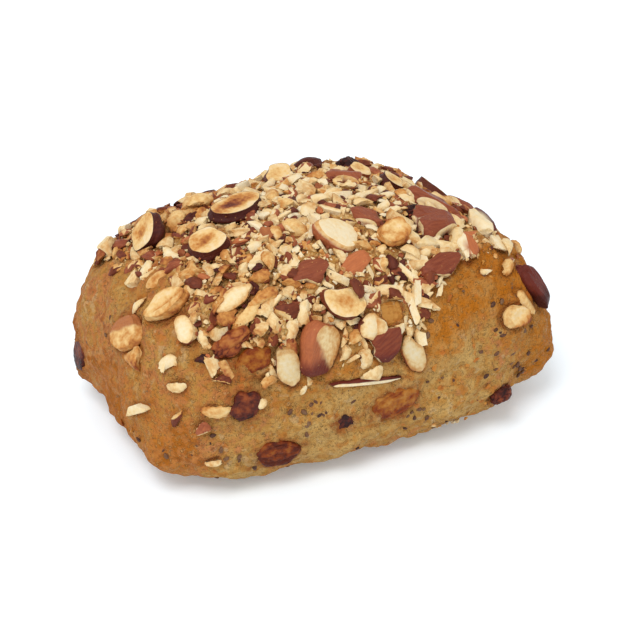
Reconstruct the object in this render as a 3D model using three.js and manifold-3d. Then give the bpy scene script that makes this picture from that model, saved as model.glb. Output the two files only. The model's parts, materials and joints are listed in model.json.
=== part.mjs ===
// A fruit bread roll: a squarish pillow of dough with a flat base, topped with chopped hazelnuts and
// almonds, and with raisins and sultanas that show in its crust. Millimetres, +Z up, the origin in the
// middle of the flat base. The long side runs along X, and the side seen first faces -Y.
import * as THREE from "three";
import { ConvexGeometry } from "three/addons/geometries/ConvexGeometry.js";
import { mergeVertices } from "three/addons/utils/BufferGeometryUtils.js";
import Module from "manifold-3d";

const wasm = await Module();
wasm.setup();

// The crust's driving sizes
const rollLength = 118.5;
const rollWidth = 91.5;
const rollHeight = 60;
const waistHeight = 16.4; // where the roll is widest
const baseDepth = 19.2; // the underside's depth below the waist, before the flat base cuts it
const planRound = 4.2; // 2 is an ellipse and more is squarer
const domeRound = 2.4;
const baseRound = 2.7;
const widening = 0.156; // the roll is wider at its +X end by this share
const slopeAlong = -0.057; // the top falls towards +X
const slopeAcross = -0.104; // and towards +Y

// Swellings and hollows of the crust: a place, how far each one reaches and how far it rises
const lumps = [
  { at: [1, -0.95, -0.15], reach: 8, rise: 2.5 },
  { at: [0.8, -1, -0.42], reach: 9, rise: -5 },
  { at: [-0.2, 0.7, 1], reach: 26, rise: -2.5 },
  { at: [0.8, 0.1, 1], reach: 18, rise: -3 },
  { at: [0.8, 0.8, 1], reach: 20, rise: -2 },
  { at: [-1, -0.6, -0.35], reach: 12, rise: 1.2 },
  { at: [-1, 0.2, -0.1], reach: 12, rise: -1.5 },
  { at: [-0.3, -1, 0.75], reach: 16, rise: 1.2 },
  { at: [0.5, -1, 0.4], reach: 18, rise: 1.2 },
  { at: [-0.6, -1, 0.1], reach: 13, rise: -1 },
  { at: [0.1, 1, 0.5], reach: 18, rise: 1.5 },
  { at: [1, 0.5, 0.2], reach: 14, rise: 1.8 },
];
const unevenness = 0.7; // height of the slow waves all over the crust
const waveLength = 23;
const waveStart = [1, 2]; // where the waves along X and Y start, in radians

// The crust's mesh: cells along X, Y and Z of the box that is rounded into the roll
const crustCells = [17, 13, 7];

// Toppings and fruit
const gap = 0.3; // between a piece and the dough round it
const jitter = 0.05; // how far a corner strays, as a share of the piece
const roundNutSides = 8;

// A seeded draw, from 0 to 1
function dice(seed) {
  let state = seed;
  return () => {
    state = (state * 16807) % 2147483647;
    return state / 2147483647;
  };
}

const lerp = THREE.MathUtils.lerp;
const radians = THREE.MathUtils.degToRad;

// The bare pillow in a direction, which is a point on the cube from -1 to 1
function pillow([x, y, z]) {
  const plan = (Math.abs(x) ** planRound + Math.abs(y) ** planRound) ** (1 / planRound);
  const round = z > 0 ? domeRound : baseRound;
  const reach = (plan ** round + Math.abs(z) ** round) ** (-1 / round);
  const along = x * reach;
  const across = y * reach * (1 + widening * along);
  const dome = (rollHeight - waistHeight) * (1 + slopeAlong * along + slopeAcross * across);
  return new THREE.Vector3(
    (along * rollLength) / 2,
    (across * rollWidth) / 2,
    waistHeight + z * reach * (z > 0 ? dome : baseDepth),
  );
}

const lumpPoints = lumps.map(({ at, reach, rise }) => ({ point: pillow(at), reach, rise }));

// The crust's surface, with its lumps and waves, cut off flat at the base
function crustPoint(direction) {
  const point = pillow(direction);
  const outward = point.clone().sub(new THREE.Vector3(0, 0, waistHeight)).normalize();
  let rise = 0;
  for (const lump of lumpPoints) {
    rise += lump.rise * Math.exp(-((point.distanceTo(lump.point) / lump.reach) ** 2));
  }
  const wave = (2 * Math.PI) / waveLength;
  const waveAlong = Math.sin(point.x * wave + waveStart[0]);
  const waveAcross = Math.sin(point.y * wave + waveStart[1]);
  rise += unevenness * waveAlong * waveAcross * Math.cos(point.z * wave);
  point.addScaledVector(outward, rise);
  point.z = Math.max(point.z, 0);
  return point;
}

// The outward normal, from two neighbours on the same face of the cube
function crustNormal(direction) {
  const step = 0.02;
  const face = direction.findIndex((value) => Math.abs(value) === 1);
  const [first, second] = [0, 1, 2].filter((axis) => axis !== face);
  const beside = (axis, shift) => {
    const moved = [...direction];
    moved[axis] += shift;
    return crustPoint(moved);
  };
  const alongFirst = beside(first, step).sub(beside(first, -step));
  const alongSecond = beside(second, step).sub(beside(second, -step));
  const normal = alongFirst.cross(alongSecond).normalize();
  const outward = crustPoint(direction).sub(new THREE.Vector3(0, 0, waistHeight));
  return normal.dot(outward) < 0 ? normal.negate() : normal;
}

// Where a piece lies: its own X turned about the crust's normal, then leaned about X and pitched about Y
function placeOf({ at, turn = 0, lean = 0, pitch = 0, stand = 0 }) {
  const normal = crustNormal(at);
  const reference = Math.abs(normal.x) > 0.8 ? new THREE.Vector3(0, 1, 0) : new THREE.Vector3(1, 0, 0);
  const along = reference.addScaledVector(normal, -reference.dot(normal)).normalize();
  const across = new THREE.Vector3().crossVectors(normal, along);
  const place = new THREE.Matrix4().makeBasis(along, across, normal);
  place.setPosition(crustPoint(at).addScaledVector(normal, stand));
  place.multiply(new THREE.Matrix4().makeRotationZ(radians(turn)));
  place.multiply(new THREE.Matrix4().makeRotationX(radians(lean)));
  place.multiply(new THREE.Matrix4().makeRotationY(radians(pitch)));
  return place;
}

// A geometry with shared corners only, as a solid and back
function welded(geometry) {
  geometry.deleteAttribute("normal");
  geometry.deleteAttribute("uv");
  return mergeVertices(geometry, 1e-4);
}

function solidOf(geometry) {
  const merged = welded(geometry);
  const vertProperties = new Float32Array(merged.attributes.position.array);
  const triVerts = new Uint32Array(merged.index.array);
  return new wasm.Manifold(new wasm.Mesh({ numProp: 3, vertProperties, triVerts }));
}

function geometryOf(solid) {
  const { vertProperties, triVerts } = solid.getMesh();
  const geometry = new THREE.BufferGeometry();
  geometry.setAttribute("position", new THREE.BufferAttribute(vertProperties, 3));
  geometry.setIndex(new THREE.BufferAttribute(triVerts, 1));
  return geometry;
}

// Each corner strays a little, so that no two pieces are alike
function roughened(geometry, draw) {
  const merged = welded(geometry);
  const position = merged.attributes.position;
  for (let i = 0; i < position.count; i++) {
    const share = () => 1 + jitter * (2 * draw() - 1);
    position.setXYZ(i, position.getX(i) * share(), position.getY(i) * share(), position.getZ(i) * share());
  }
  return merged;
}

// The kinds of topping, each one unit long, wide and thick about its middle

// Half a hazelnut: a dome below, and a cut face above with the hollow of its heart
function halfHazelnut(draw) {
  const profile = [
    [0, -0.5],
    [0.3, -0.42],
    [0.46, -0.12],
    [0.5, 0.25],
    [0.44, 0.5],
    [0.2, 0.4],
    [0, 0.2],
  ].map(([radius, height]) => new THREE.Vector2(radius, height));
  const nut = new THREE.LatheGeometry(profile, roundNutSides);
  nut.rotateX(Math.PI / 2);
  return solidOf(roughened(nut, draw));
}

// An almond with a flat cut face above
function cutAlmond(draw) {
  const nut = new THREE.IcosahedronGeometry(0.5, 1);
  const cutHeight = 0.22;
  return solidOf(roughened(nut, draw)).trimByPlane([0, 0, -1], -cutHeight);
}

// A chunk of almond: skin above, cut below and across both ends
function almondChunk(draw) {
  const nut = new THREE.IcosahedronGeometry(0.58, 1);
  const whole = solidOf(roughened(nut, draw));
  const endCut = 0.42;
  return whole
    .trimByPlane([0, 0, 1], -0.3)
    .trimByPlane([-1, 0, 0.25], -endCut)
    .trimByPlane([1, 0.3, 0.1], -endCut);
}

// A flat oval slice of almond or hazelnut, its two faces a little smaller than its middle
function nutSlice(draw) {
  const corners = [];
  const sides = 8;
  for (let i = 0; i < sides; i++) {
    const angle = (i * 2 * Math.PI) / sides;
    const radius = 0.5 * lerp(0.88, 1, draw());
    for (const level of [-0.5, 0.5]) {
      corners.push(new THREE.Vector3(radius * Math.cos(angle), radius * Math.sin(angle), level));
    }
  }
  return solidOf(new ConvexGeometry(corners));
}

// A raisin or sultana with long wrinkles
function driedGrape(draw) {
  const merged = welded(new THREE.IcosahedronGeometry(0.5, 1));
  const position = merged.attributes.position;
  const wrinkles = 5;
  const wrinkleDepth = 0.07;
  const start = 2 * Math.PI * draw();
  for (let i = 0; i < position.count; i++) {
    const [x, y, z] = [position.getX(i), position.getY(i), position.getZ(i)];
    const share = 1 + wrinkleDepth * Math.sin(wrinkles * Math.atan2(z, y) + 4 * x + start);
    position.setXYZ(i, x, y * share, z * share);
  }
  return solidOf(merged);
}

// A chopped bit: an angular lump
function choppedBit(draw) {
  const lump = welded(new THREE.IcosahedronGeometry(0.5, 0));
  const position = lump.attributes.position;
  for (let i = 0; i < position.count; i++) {
    const share = lerp(0.75, 1.2, draw());
    position.setXYZ(i, position.getX(i) * share, position.getY(i) * share, position.getZ(i) * share);
  }
  return solidOf(lump);
}

// The large pieces by kind. Each row has a place on the cube, then length, width and height in mm, then
// the turn, lean and pitch in degrees and how high the middle of the piece stands over the crust
const pieces = {
  // Half a hazelnut with its cut face out
  hazelnut_half: [
    [[-0.6, -0.22, 1], [10, 9.4, 5.8], { turn: 10, stand: 1.6 }],
    [[-0.32, 0.06, 1], [14.5, 11.5, 5.2], { turn: 14, pitch: 6, stand: 1.6 }],
    [[-0.79, 0.36, 1], [11.5, 10.5, 6], { turn: -10, pitch: -34, lean: 8, stand: 1.5 }],
    [[0.08, 0.45, 1], [8.8, 8.2, 5], { lean: 42, stand: 1.7 }],
    [[0.57, 0.04, 1], [7.5, 7, 5], { turn: 30, lean: 24, stand: 1.4 }],
    [[0.42, 0.18, 1], [6.6, 6.2, 4.6], { lean: 18, stand: 1.1 }],
    [[-1, -0.46, 0.86], [13, 7.5, 5], { turn: -28, stand: 1 }],
    [[-0.22, -1, 0.84], [11, 8, 5], { turn: -35, stand: 0.9 }],
    [[0.66, -1, 0.44], [8, 6, 4.6], { stand: 0.8 }],
    [[0.22, -0.63, 1], [9.2, 7.2, 4.6], { turn: 20, stand: 1.1 }],
    [[-1, -0.15, 0.52], [11.5, 9, 4.5], { turn: 40, stand: 0.2 }],
    [[-0.2, 1, 0.72], [12, 11, 5.5], { turn: 30, stand: 1 }],
    [[1, 0.4, 0.5], [11.5, 10, 5.5], { turn: 40, stand: 0.9 }],
    [[0.4, 1, 0.62], [11, 8.5, 5], { turn: 70, stand: 1 }],
  ],
  // The same with its skin out
  hazelnut_cap: [
    [[-0.7, 0.68, 1], [9, 8, 4.8], { lean: 180, stand: 0.4 }],
    [[0.33, 0.62, 1], [10, 7, 4.8], { turn: 10, lean: 150, stand: 0.8 }],
    [[-0.66, 1, 0.7], [10.5, 9.5, 5], { lean: 180, stand: 0.6 }],
  ],
  // An almond with its cut face out
  almond_cut: [
    [[-0.35, -1, 0.57], [14.6, 11.6, 9], { turn: 58, lean: 34, stand: 0.5 }],
    [[-0.06, -0.53, 1], [13.2, 10.2, 8], { turn: -10, lean: 6, pitch: 10, stand: 0.8 }],
    [[0.72, 1, 0.72], [13.5, 10, 8], { turn: 40, stand: 0.2 }],
  ],
  // A chunk of almond with its skin out
  almond_chunk: [
    [[0.46, -0.61, 1], [12, 8.6, 7.5], { turn: -8, stand: 1 }],
    [[0.56, -0.36, 1], [13, 7, 5.6], { turn: -55, stand: 0.5 }],
    [[0.44, -1, 0.97], [10.4, 5.4, 4.8], { turn: 8, stand: 0.9 }],
    [[0.86, -0.66, 1], [11.5, 5.4, 5.6], { turn: 80, stand: 0.9 }],
    [[0.96, -1, 0.6], [13, 4.8, 5], { turn: -62, stand: 1.1 }],
    [[0.3, 0.12, 1], [11, 6.6, 5], { turn: -68, stand: 0.8 }],
    [[0.15, -0.43, 1], [9, 5, 4], { turn: -62, stand: 0.7 }],
    [[-0.3, -0.79, 1], [8.8, 5.4, 4.2], { stand: 0.6 }],
    [[-0.03, -1, 0.48], [8.5, 6.5, 5.5], { turn: 20, stand: 0.8 }],
    [[-0.05, -0.81, 1], [8, 5, 4], { turn: 15, stand: 0.5 }],
    [[0.63, -0.9, 1], [7, 5, 4.6], { turn: 75, stand: 0.7 }],
    [[1, 0.0, 0.66], [12.5, 8, 6.5], { turn: 65, stand: 0.4 }],
    [[0.0, 1, 0.45], [9.5, 6.5, 5], { turn: 30, stand: 0.6 }],
  ],
  // A flat slice of almond
  almond_slice: [
    [[-0.51, -1, 0.5], [11, 5.6, 2.6], { turn: 100, stand: 0.8 }],
    [[0.1, -1, 0.38], [9.6, 5.8, 2.8], { turn: 112, stand: 0.8 }],
    [[-0.76, -0.82, 1], [10, 5, 3.2], { turn: 15, stand: 0.9 }],
    [[-1, -0.75, 0.8], [7.8, 5.2, 3.2], { turn: 80, stand: 0.8 }],
    [[-0.13, -1, 0.28], [19, 1.8, 2], { turn: -11, stand: 0.5 }],
    [[-0.1, -1, 0.62], [7, 5.6, 3.6], { turn: 60, stand: 0.9 }],
    [[1, -0.3, 0.6], [10, 5.6, 2.6], { turn: 70, stand: 0.7 }],
    [[-0.7, 1, 0.3], [10.5, 5.4, 2.6], { turn: 60, stand: 0.5 }],
  ],
  raisin: [
    [[0.51, 0.44, 1], [7.6, 6, 5], { turn: 20, stand: 1.1 }],
    [[0.395, -0.44, 1], [4.4, 3.6, 3.6], { turn: 10, stand: 0.6 }],
    [[-0.85, -1, 0.77], [11.4, 6.4, 5.2], { turn: 18, stand: 0.2 }],
    [[-1, 0.56, 0.02], [10, 7, 5], { turn: 80, stand: -1 }],
    [[0.58, -1, -0.22], [6.6, 5, 4.6], { turn: 15, stand: 0.1 }],
    [[-0.72, -1, 0.3], [8.6, 7.4, 5.2], { turn: 60, stand: -0.4 }],
    [[-0.24, -1, 0.05], [6.8, 4.6, 4.2], { turn: -10, stand: -0.9 }],
    [[-0.5, 1, 0.1], [10, 7.5, 6], { turn: 10, stand: -0.4 }],
  ],
  sultana: [
    [[0.0, -1, 0.09], [13, 8.6, 6], { turn: 5, stand: -1.4 }],
    [[-0.55, -1, -0.17], [11.5, 8, 6], { stand: -1.3 }],
    [[-0.69, -1, 0.58], [10.2, 6.2, 4.8], { turn: 12, stand: -1 }],
    [[0.04, -1, 0.68], [8.5, 6.5, 5], { stand: -1 }],
    [[1, 0.2, 0.15], [12, 8, 6], { turn: 15, stand: -1.2 }],
    [[0.6, 1, 0.15], [11.5, 8, 6], { turn: -10, stand: -1.2 }],
  ],
};
const shapes = {
  hazelnut_half: halfHazelnut,
  hazelnut_cap: halfHazelnut,
  almond_cut: cutAlmond,
  almond_chunk: almondChunk,
  almond_slice: nutSlice,
  raisin: driedGrape,
  sultana: driedGrape,
};

// Chips of nut and fruit that show singly and are baked onto the crust: a place, the length and width,
// and the turn
const chips = [
  [[-0.45, -0.55, 1], [9, 4], 15],
  [[-0.4, -0.72, 1], [5, 3.5], 40],
  [[-0.5, -0.92, 1], [6, 2.6], 20],
  [[-0.65, -1, 0.97], [7, 4], 20],
  [[-0.72, -0.42, 1], [6, 3], 70],
  [[-0.86, -0.36, 1], [5.5, 4.5], 0],
  [[-0.76, 0.16, 1], [4.5, 3.5], 30],
  [[-0.6, 0.16, 1], [6, 4.5], 50],
  [[-0.48, 0.36, 1], [7, 5], 10],
  [[-0.42, -0.22, 1], [5, 4], 0],
  [[-0.2, -0.14, 1], [4.5, 3], 60],
  [[-0.12, -0.04, 1], [5.5, 2.6], -20],
  [[0.36, -0.79, 1], [8, 2.4], -50],
  [[0.31, -0.9, 1], [7, 2.4], -35],
  [[0.27, -0.17, 1], [9, 2], 10],
  [[0.5, -0.87, 1], [5, 3.6], 20],
  [[0.66, -0.6, 1], [5.5, 3.5], 60],
  [[0.93, -0.9, 1], [6.5, 3.6], 80],
  [[0.06, -0.24, 1], [7, 3.4], -40],
  [[-0.03, -0.33, 1], [4, 3], 0],
  [[0.42, 0.0, 1], [6.5, 4], -30],
  [[-1, 0.6, 0.98], [5.5, 3.4], 30],
  [[-1, 0.78, 0.75], [5.5, 4], 0],
  [[-1, 0.1, 0.84], [4.6, 3.6], 0],
  [[-1, -0.12, 0.72], [5.5, 2.6], 80],
  [[-1, -0.15, 0.97], [6.5, 4.2], 0],
  [[-1, 0.08, 0.99], [5, 4], 30],
  [[-1, -0.32, 0.42], [6.2, 5.6], 0],
  [[-1, -0.92, 0.8], [5, 3], 80],
  [[-1, -0.97, 0.66], [4.4, 3.8], 0],
  [[-1, -0.68, 0.53], [5.4, 3.8], 0],
  [[-1, -0.45, 0.15], [9, 2.4], 0],
  [[-1, -0.82, 0.22], [5.4, 2.2], 70],
  [[0.08, -1, 0.86], [9, 2.8], -20],
  [[0.17, -1, 0.74], [9, 2.8], -35],
  [[0.25, -1, 0.84], [8.5, 4], -30],
  [[-0.13, -1, 0.42], [5.6, 4], 70],
  [[-0.86, -1, 0.5], [4.6, 3], 0],
  [[-0.6, -1, 0.42], [4.4, 3.4], 0],
  [[-0.88, -1, 0.3], [7.5, 4.4], 10],
  [[-0.97, -1, 0.18], [4.4, 3.6], 60],
  [[-0.9, -1, -0.16], [4.2, 2], 0],
  [[0.8, -1, 0.5], [9.5, 3.6], -55],
];
const chipHeight = 0.55; // a chip's height as a share of its width
const chipStand = 0.14; // how far its middle stands over the crust, as a share of its width
const thinnestChip = 2;

// Chopped bits over the top, the largest first, spread by a seeded draw
const bitCount = 46;
const bitTries = 4000;
const bitSizes = [7.2, 3.4]; // length from the first to the last
const bitWidths = [0.45, 0.75]; // as shares of the length
const bitHeights = [0.4, 0.6];
const bitTilt = 15; // degrees at most
const bitStand = 0.16; // how far its middle stands over the crust, as a share of its length
const bitSpacing = 0.74; // how close two bits may lie, as a share of their sizes
const bitsOnTop = 0.68; // share of the draws that fall on the top face of the cube
const topEdge = 0.97; // no bit lies nearer to an edge of the cube than this
const bitSeed = 4711;
const pieceSeed = 101;

// How far down each side the topping reaches, as a height of the cube: -Y, +Y, -X and +X
function lowestTopping([x, y]) {
  if (y === -1) return x < 0.12 ? 0.42 : 0.8;
  if (y === 1) return 0.55;
  if (x === -1) return y < -0.2 ? 0.4 : 0.84;
  return 0.6;
}

// A random place: mostly on the top, or on the upper part of a side
function drawnPlace(draw) {
  const pick = draw();
  const first = lerp(-topEdge, topEdge, draw());
  const second = draw();
  if (pick < bitsOnTop) return [first, lerp(-topEdge, topEdge, second), 1];
  const sides = [[first, -1], [first, 1], [-1, first], [1, first]];
  const side = sides[Math.floor(draw() * sides.length)];
  return [...side, lerp(lowestTopping(side), topEdge, second)];
}

// The hand-placed chips and then the drawn bits, each clear of the pieces and of each other
function chosenBits(taken) {
  const draw = dice(bitSeed);
  const bits = chips.map(([at, [length, width], turn]) => {
    const size = [length, width, Math.max(chipHeight * width, thinnestChip)];
    taken.push({ point: crustPoint(at), reach: length });
    return { at, size, turn, stand: chipStand * width, shape: choppedBit(draw) };
  });
  for (let i = 0, drawn = 0; i < bitTries && drawn < bitCount; i++) {
    const at = drawnPlace(draw);
    const length = lerp(...bitSizes, drawn / bitCount) * lerp(0.85, 1.1, draw());
    const size = [length, length * lerp(...bitWidths, draw()), length * lerp(...bitHeights, draw())];
    const turn = 360 * draw();
    const lean = lerp(-bitTilt, bitTilt, draw());
    const pitch = lerp(-bitTilt, bitTilt, draw());
    const point = crustPoint(at);
    const near = (other) => point.distanceTo(other.point) < (bitSpacing * (length + other.reach)) / 2;
    if (taken.some(near)) continue;
    taken.push({ point, reach: length });
    bits.push({ at, size, turn, lean, pitch, stand: bitStand * length, shape: choppedBit(draw) });
    drawn++;
  }
  return bits;
}

// The crust as a box whose cells are moved onto the roll
function crustSolid() {
  const box = welded(new THREE.BoxGeometry(2, 2, 2, ...crustCells));
  const position = box.attributes.position;
  for (let i = 0; i < position.count; i++) {
    const point = crustPoint([position.getX(i), position.getY(i), position.getZ(i)]);
    position.setXYZ(i, point.x, point.y, point.z);
  }
  return solidOf(box);
}

// A solid stretched to its size in mm, with more all round where it cuts its own socket
function sized(shape, size, more = 0) {
  return shape.scale(size.map((value) => value + 2 * more));
}

function placed(shape, place) {
  return shape.transform(place.elements);
}

// The largest body, without the loose scraps that cutting can leave
function mainBody(solid) {
  return solid.decompose().reduce((best, body) => (body.volume() > best.volume() ? body : best));
}

// Colour, roughness and metalness as seen on the roll
const finish = (color, roughness) => new THREE.MeshStandardMaterial({ color, roughness, metalness: 0 });
const finishes = {
  crust: finish(0xc08a4c, 0.8),
  hazelnut_half: finish(0xe8c48a, 0.6),
  hazelnut_cap: finish(0x5a2c1c, 0.6),
  almond_cut: finish(0xe9d3a8, 0.6),
  almond_chunk: finish(0x8f4a2c, 0.65),
  almond_slice: finish(0xeeddb6, 0.6),
  raisin: finish(0x3e1d18, 0.45),
  sultana: finish(0x9a5518, 0.4),
};

const roll = new THREE.Group();
let dough = crustSolid();
const taken = [];
const sockets = [];

let seed = pieceSeed;
for (const [kind, rows] of Object.entries(pieces)) {
  rows.forEach(([at, size, tilt], index) => {
    const shape = shapes[kind](dice(seed++));
    const place = placeOf({ at, ...tilt });
    const mesh = new THREE.Mesh(geometryOf(sized(shape, size)), finishes[kind]);
    mesh.name = `${kind}_${index + 1}`;
    place.decompose(mesh.position, mesh.quaternion, mesh.scale);
    roll.add(mesh);
    sockets.push(placed(sized(shape, size, gap), place));
    taken.push({ point: crustPoint(at), reach: Math.hypot(size[0], size[1]) });
  });
}

for (const bit of chosenBits(taken)) {
  dough = dough.add(placed(sized(bit.shape, bit.size), placeOf(bit)));
}
for (const socket of sockets) {
  dough = dough.subtract(socket);
}

const crust = new THREE.Mesh(geometryOf(mainBody(dough)), finishes.crust);
crust.name = "roll";
roll.add(crust);

export default roll;
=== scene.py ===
import json
import math

import bpy
import numpy as np
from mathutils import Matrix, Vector, noise

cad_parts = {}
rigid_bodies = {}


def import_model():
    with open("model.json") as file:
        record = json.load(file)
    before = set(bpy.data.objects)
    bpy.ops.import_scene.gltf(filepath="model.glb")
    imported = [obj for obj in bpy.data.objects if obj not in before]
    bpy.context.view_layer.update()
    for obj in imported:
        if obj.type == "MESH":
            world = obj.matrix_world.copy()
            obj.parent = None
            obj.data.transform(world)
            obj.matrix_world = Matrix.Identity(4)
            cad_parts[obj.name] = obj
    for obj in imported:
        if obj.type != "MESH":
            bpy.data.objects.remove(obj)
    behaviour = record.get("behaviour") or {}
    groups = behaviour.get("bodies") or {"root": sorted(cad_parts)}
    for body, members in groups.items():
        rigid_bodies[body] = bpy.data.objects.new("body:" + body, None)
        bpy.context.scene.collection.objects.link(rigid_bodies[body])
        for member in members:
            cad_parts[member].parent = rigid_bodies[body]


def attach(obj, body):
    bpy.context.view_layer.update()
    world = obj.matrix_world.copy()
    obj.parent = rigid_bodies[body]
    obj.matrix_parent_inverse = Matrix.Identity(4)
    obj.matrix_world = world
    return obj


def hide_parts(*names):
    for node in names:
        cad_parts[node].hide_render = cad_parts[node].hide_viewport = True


# A fruit bread roll: a golden crust with seeds, sultanas and raisins in it, and chopped nuts over the top.
# Sizes are in mm and turned into metres where a mesh is made. Places on the roll are points on a cube from -1
# to 1, with -Y in front.
for thing in list(bpy.data.objects):  # the startup file's own cube, lamp and camera
    bpy.data.objects.remove(thing)
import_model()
bpy.ops.object.select_all(action="DESELECT")
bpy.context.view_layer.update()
mm = 0.001
onFace = 0.999999  # from here on a place is on a face of the cube

form = {
    "length": 118.5, "width": 91.5, "height": 60, "waistHeight": 16.4, "baseDepth": 19.2,
    "planRound": 4.2, "domeRound": 2.4, "baseRound": 2.7,
    "widening": 0.156, "slopeAlong": -0.057, "slopeAcross": -0.104,
    "unevenness": 0.7, "waveLength": 23, "waveStart": (1, 2),
    # swellings and hollows: the place, how far each reaches and how far it rises
    "lumps": [
        ((1, -0.95, -0.15), 8, 2.5), ((0.8, -1, -0.42), 9, -5), ((-0.2, 0.7, 1), 26, -2.5),
        ((0.8, 0.1, 1), 18, -3), ((0.8, 0.8, 1), 20, -2), ((-1, -0.6, -0.35), 12, 1.2),
        ((-1, 0.2, -0.1), 12, -1.5), ((-0.3, -1, 0.75), 16, 1.2), ((0.5, -1, 0.4), 18, 1.2),
        ((-0.6, -1, 0.1), 13, -1), ((0.1, 1, 0.5), 18, 1.5), ((1, 0.5, 0.2), 14, 1.8),
    ],
}
waist = np.array([0, 0, form["waistHeight"]])


def lerp(first, second, share):
    return first + (second - first) * share


def smooth(low, high, value):
    share = np.clip((np.asarray(value, float) - low) / (high - low), 0, 1)
    return share * share * (3 - 2 * share)


# 1 at no distance, and down to about a third at the reach
def bell(away, reach=1):
    return np.exp(-(away / reach) ** 2)


def nearness(points, point, reach):
    return bell(np.linalg.norm(points - point, axis=1), reach)


def dice(seed):
    state = seed

    def draw():
        nonlocal state
        state = (state * 16807) % 2147483647
        return state / 2147483647

    return draw


# The bare pillow at each place
def pillow(directions):
    x, y, z = directions.T
    plan = (abs(x) ** form["planRound"] + abs(y) ** form["planRound"]) ** (1 / form["planRound"])
    rounding = np.where(z > 0, form["domeRound"], form["baseRound"])
    reach = (plan ** rounding + abs(z) ** rounding) ** (-1 / rounding)
    along = x * reach
    across = y * reach * (1 + form["widening"] * along)
    dome = form["height"] - form["waistHeight"]
    dome = dome * (1 + form["slopeAlong"] * along + form["slopeAcross"] * across)
    height = form["waistHeight"] + z * reach * np.where(z > 0, dome, form["baseDepth"])
    return np.stack([along * form["length"] / 2, across * form["width"] / 2, height], 1)


lumpPoints = [(pillow(np.array([at], float))[0], reach, rise) for at, reach, rise in form["lumps"]]


# The crust with its lumps and waves, cut off flat at the base
def crustPoints(directions):
    points = pillow(directions)
    outward = points - waist
    outward /= np.linalg.norm(outward, axis=1)[:, None]
    rise = np.zeros(len(points))
    for point, reach, height in lumpPoints:
        rise += height * nearness(points, point, reach)
    wave = 2 * math.pi / form["waveLength"]
    startAlong, startAcross = form["waveStart"]
    waves = np.sin(points[:, 0] * wave + startAlong) * np.sin(points[:, 1] * wave + startAcross)
    rise += form["unevenness"] * waves * np.cos(points[:, 2] * wave)
    points = points + outward * rise[:, None]
    points[:, 2] = np.maximum(points[:, 2], 0)
    return points


def crustPoint(at):
    return crustPoints(np.array([at], float))[0]


# How far the crust runs each way between two neighbours on the same face of the cube
def crustSides(directions, step):
    face = np.argmax(abs(directions) >= onFace, axis=1)
    rows = np.arange(len(directions))
    sides = []
    for axis in (np.where(face == 0, 1, 0), np.where(face == 2, 1, 2)):
        low, high = directions.copy(), directions.copy()
        low[rows, axis] -= step
        high[rows, axis] += step
        sides.append(crustPoints(high) - crustPoints(low))
    return sides


def crustNormals(directions):
    normals = np.cross(*crustSides(directions, 0.02))
    normals /= np.maximum(np.linalg.norm(normals, axis=1), 1e-9)[:, None]
    inward = (normals * (crustPoints(directions) - waist)).sum(1) < 0
    normals[inward] *= -1
    return normals


def turning(axis, degrees):
    angles = np.radians(np.asarray(degrees, float))
    made = np.zeros((len(angles), 3, 3))
    made[:, axis, axis] = 1
    one, other = (axis + 1) % 3, (axis + 2) % 3
    made[:, one, one] = made[:, other, other] = np.cos(angles)
    made[:, one, other] = -np.sin(angles)
    made[:, other, one] = np.sin(angles)
    return made


# Where pieces lie: their own X turned about the crust's normal, then leaned about X and pitched about Y.
# Gives the turns (n, 3, 3) and the middles (n, 3) in mm.
def placesOf(at, turn, lean, pitch, stand):
    at = np.asarray(at, float)
    normals = crustNormals(at)
    reference = np.where(abs(normals[:, :1]) > 0.8, [[0.0, 1.0, 0.0]], [[1.0, 0.0, 0.0]])
    along = reference - normals * (reference * normals).sum(1)[:, None]
    along /= np.linalg.norm(along, axis=1)[:, None]
    basis = np.stack([along, np.cross(normals, along), normals], 2)
    turns = basis @ turning(2, turn) @ turning(0, lean) @ turning(1, pitch)
    return turns, crustPoints(at) + normals * np.asarray(stand, float)[:, None]


# Smooth noise at many points, from -1 to 1
def noiseAt(points, size, shift=0.0):
    offset = Vector((shift, shift * 1.7, shift * 0.3))
    return np.array([noise.noise(Vector(point) / size + offset) for point in points])


# What a nut or fruit looks like where its row doesn't say. Toast browns the flesh from 0 to 1, tone darkens the
# skin or fruit, the key after tone darkens it below as painted shade, face browns the cut face and dull greys
# it.
# Stain is how far it browns the dough and bulge how far sunken fruit comes out. Rows also have bare and whole
# for a nut without or all in skin, rim for a narrow one, groove for a crease that is also darkened as painted
# shade, and side, cover and cut as an angle and an amount: browner on that side, or skin only beyond or only
# before that share of the length.
plainLook = {"toast": 0.2, "tone": 0.5, "under": 0.2, "face": 0, "dull": 0, "stain": 1.3, "bulge": 0}


# Length, width and height, and how far the middle stands over the crust
def topping(at, size, stand, turn=0, lean=0, pitch=0, **look):
    return {"at": at, "size": size, "turn": turn, "lean": lean, "pitch": pitch, "stand": stand,
            "look": {**plainLook, **look}}


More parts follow.
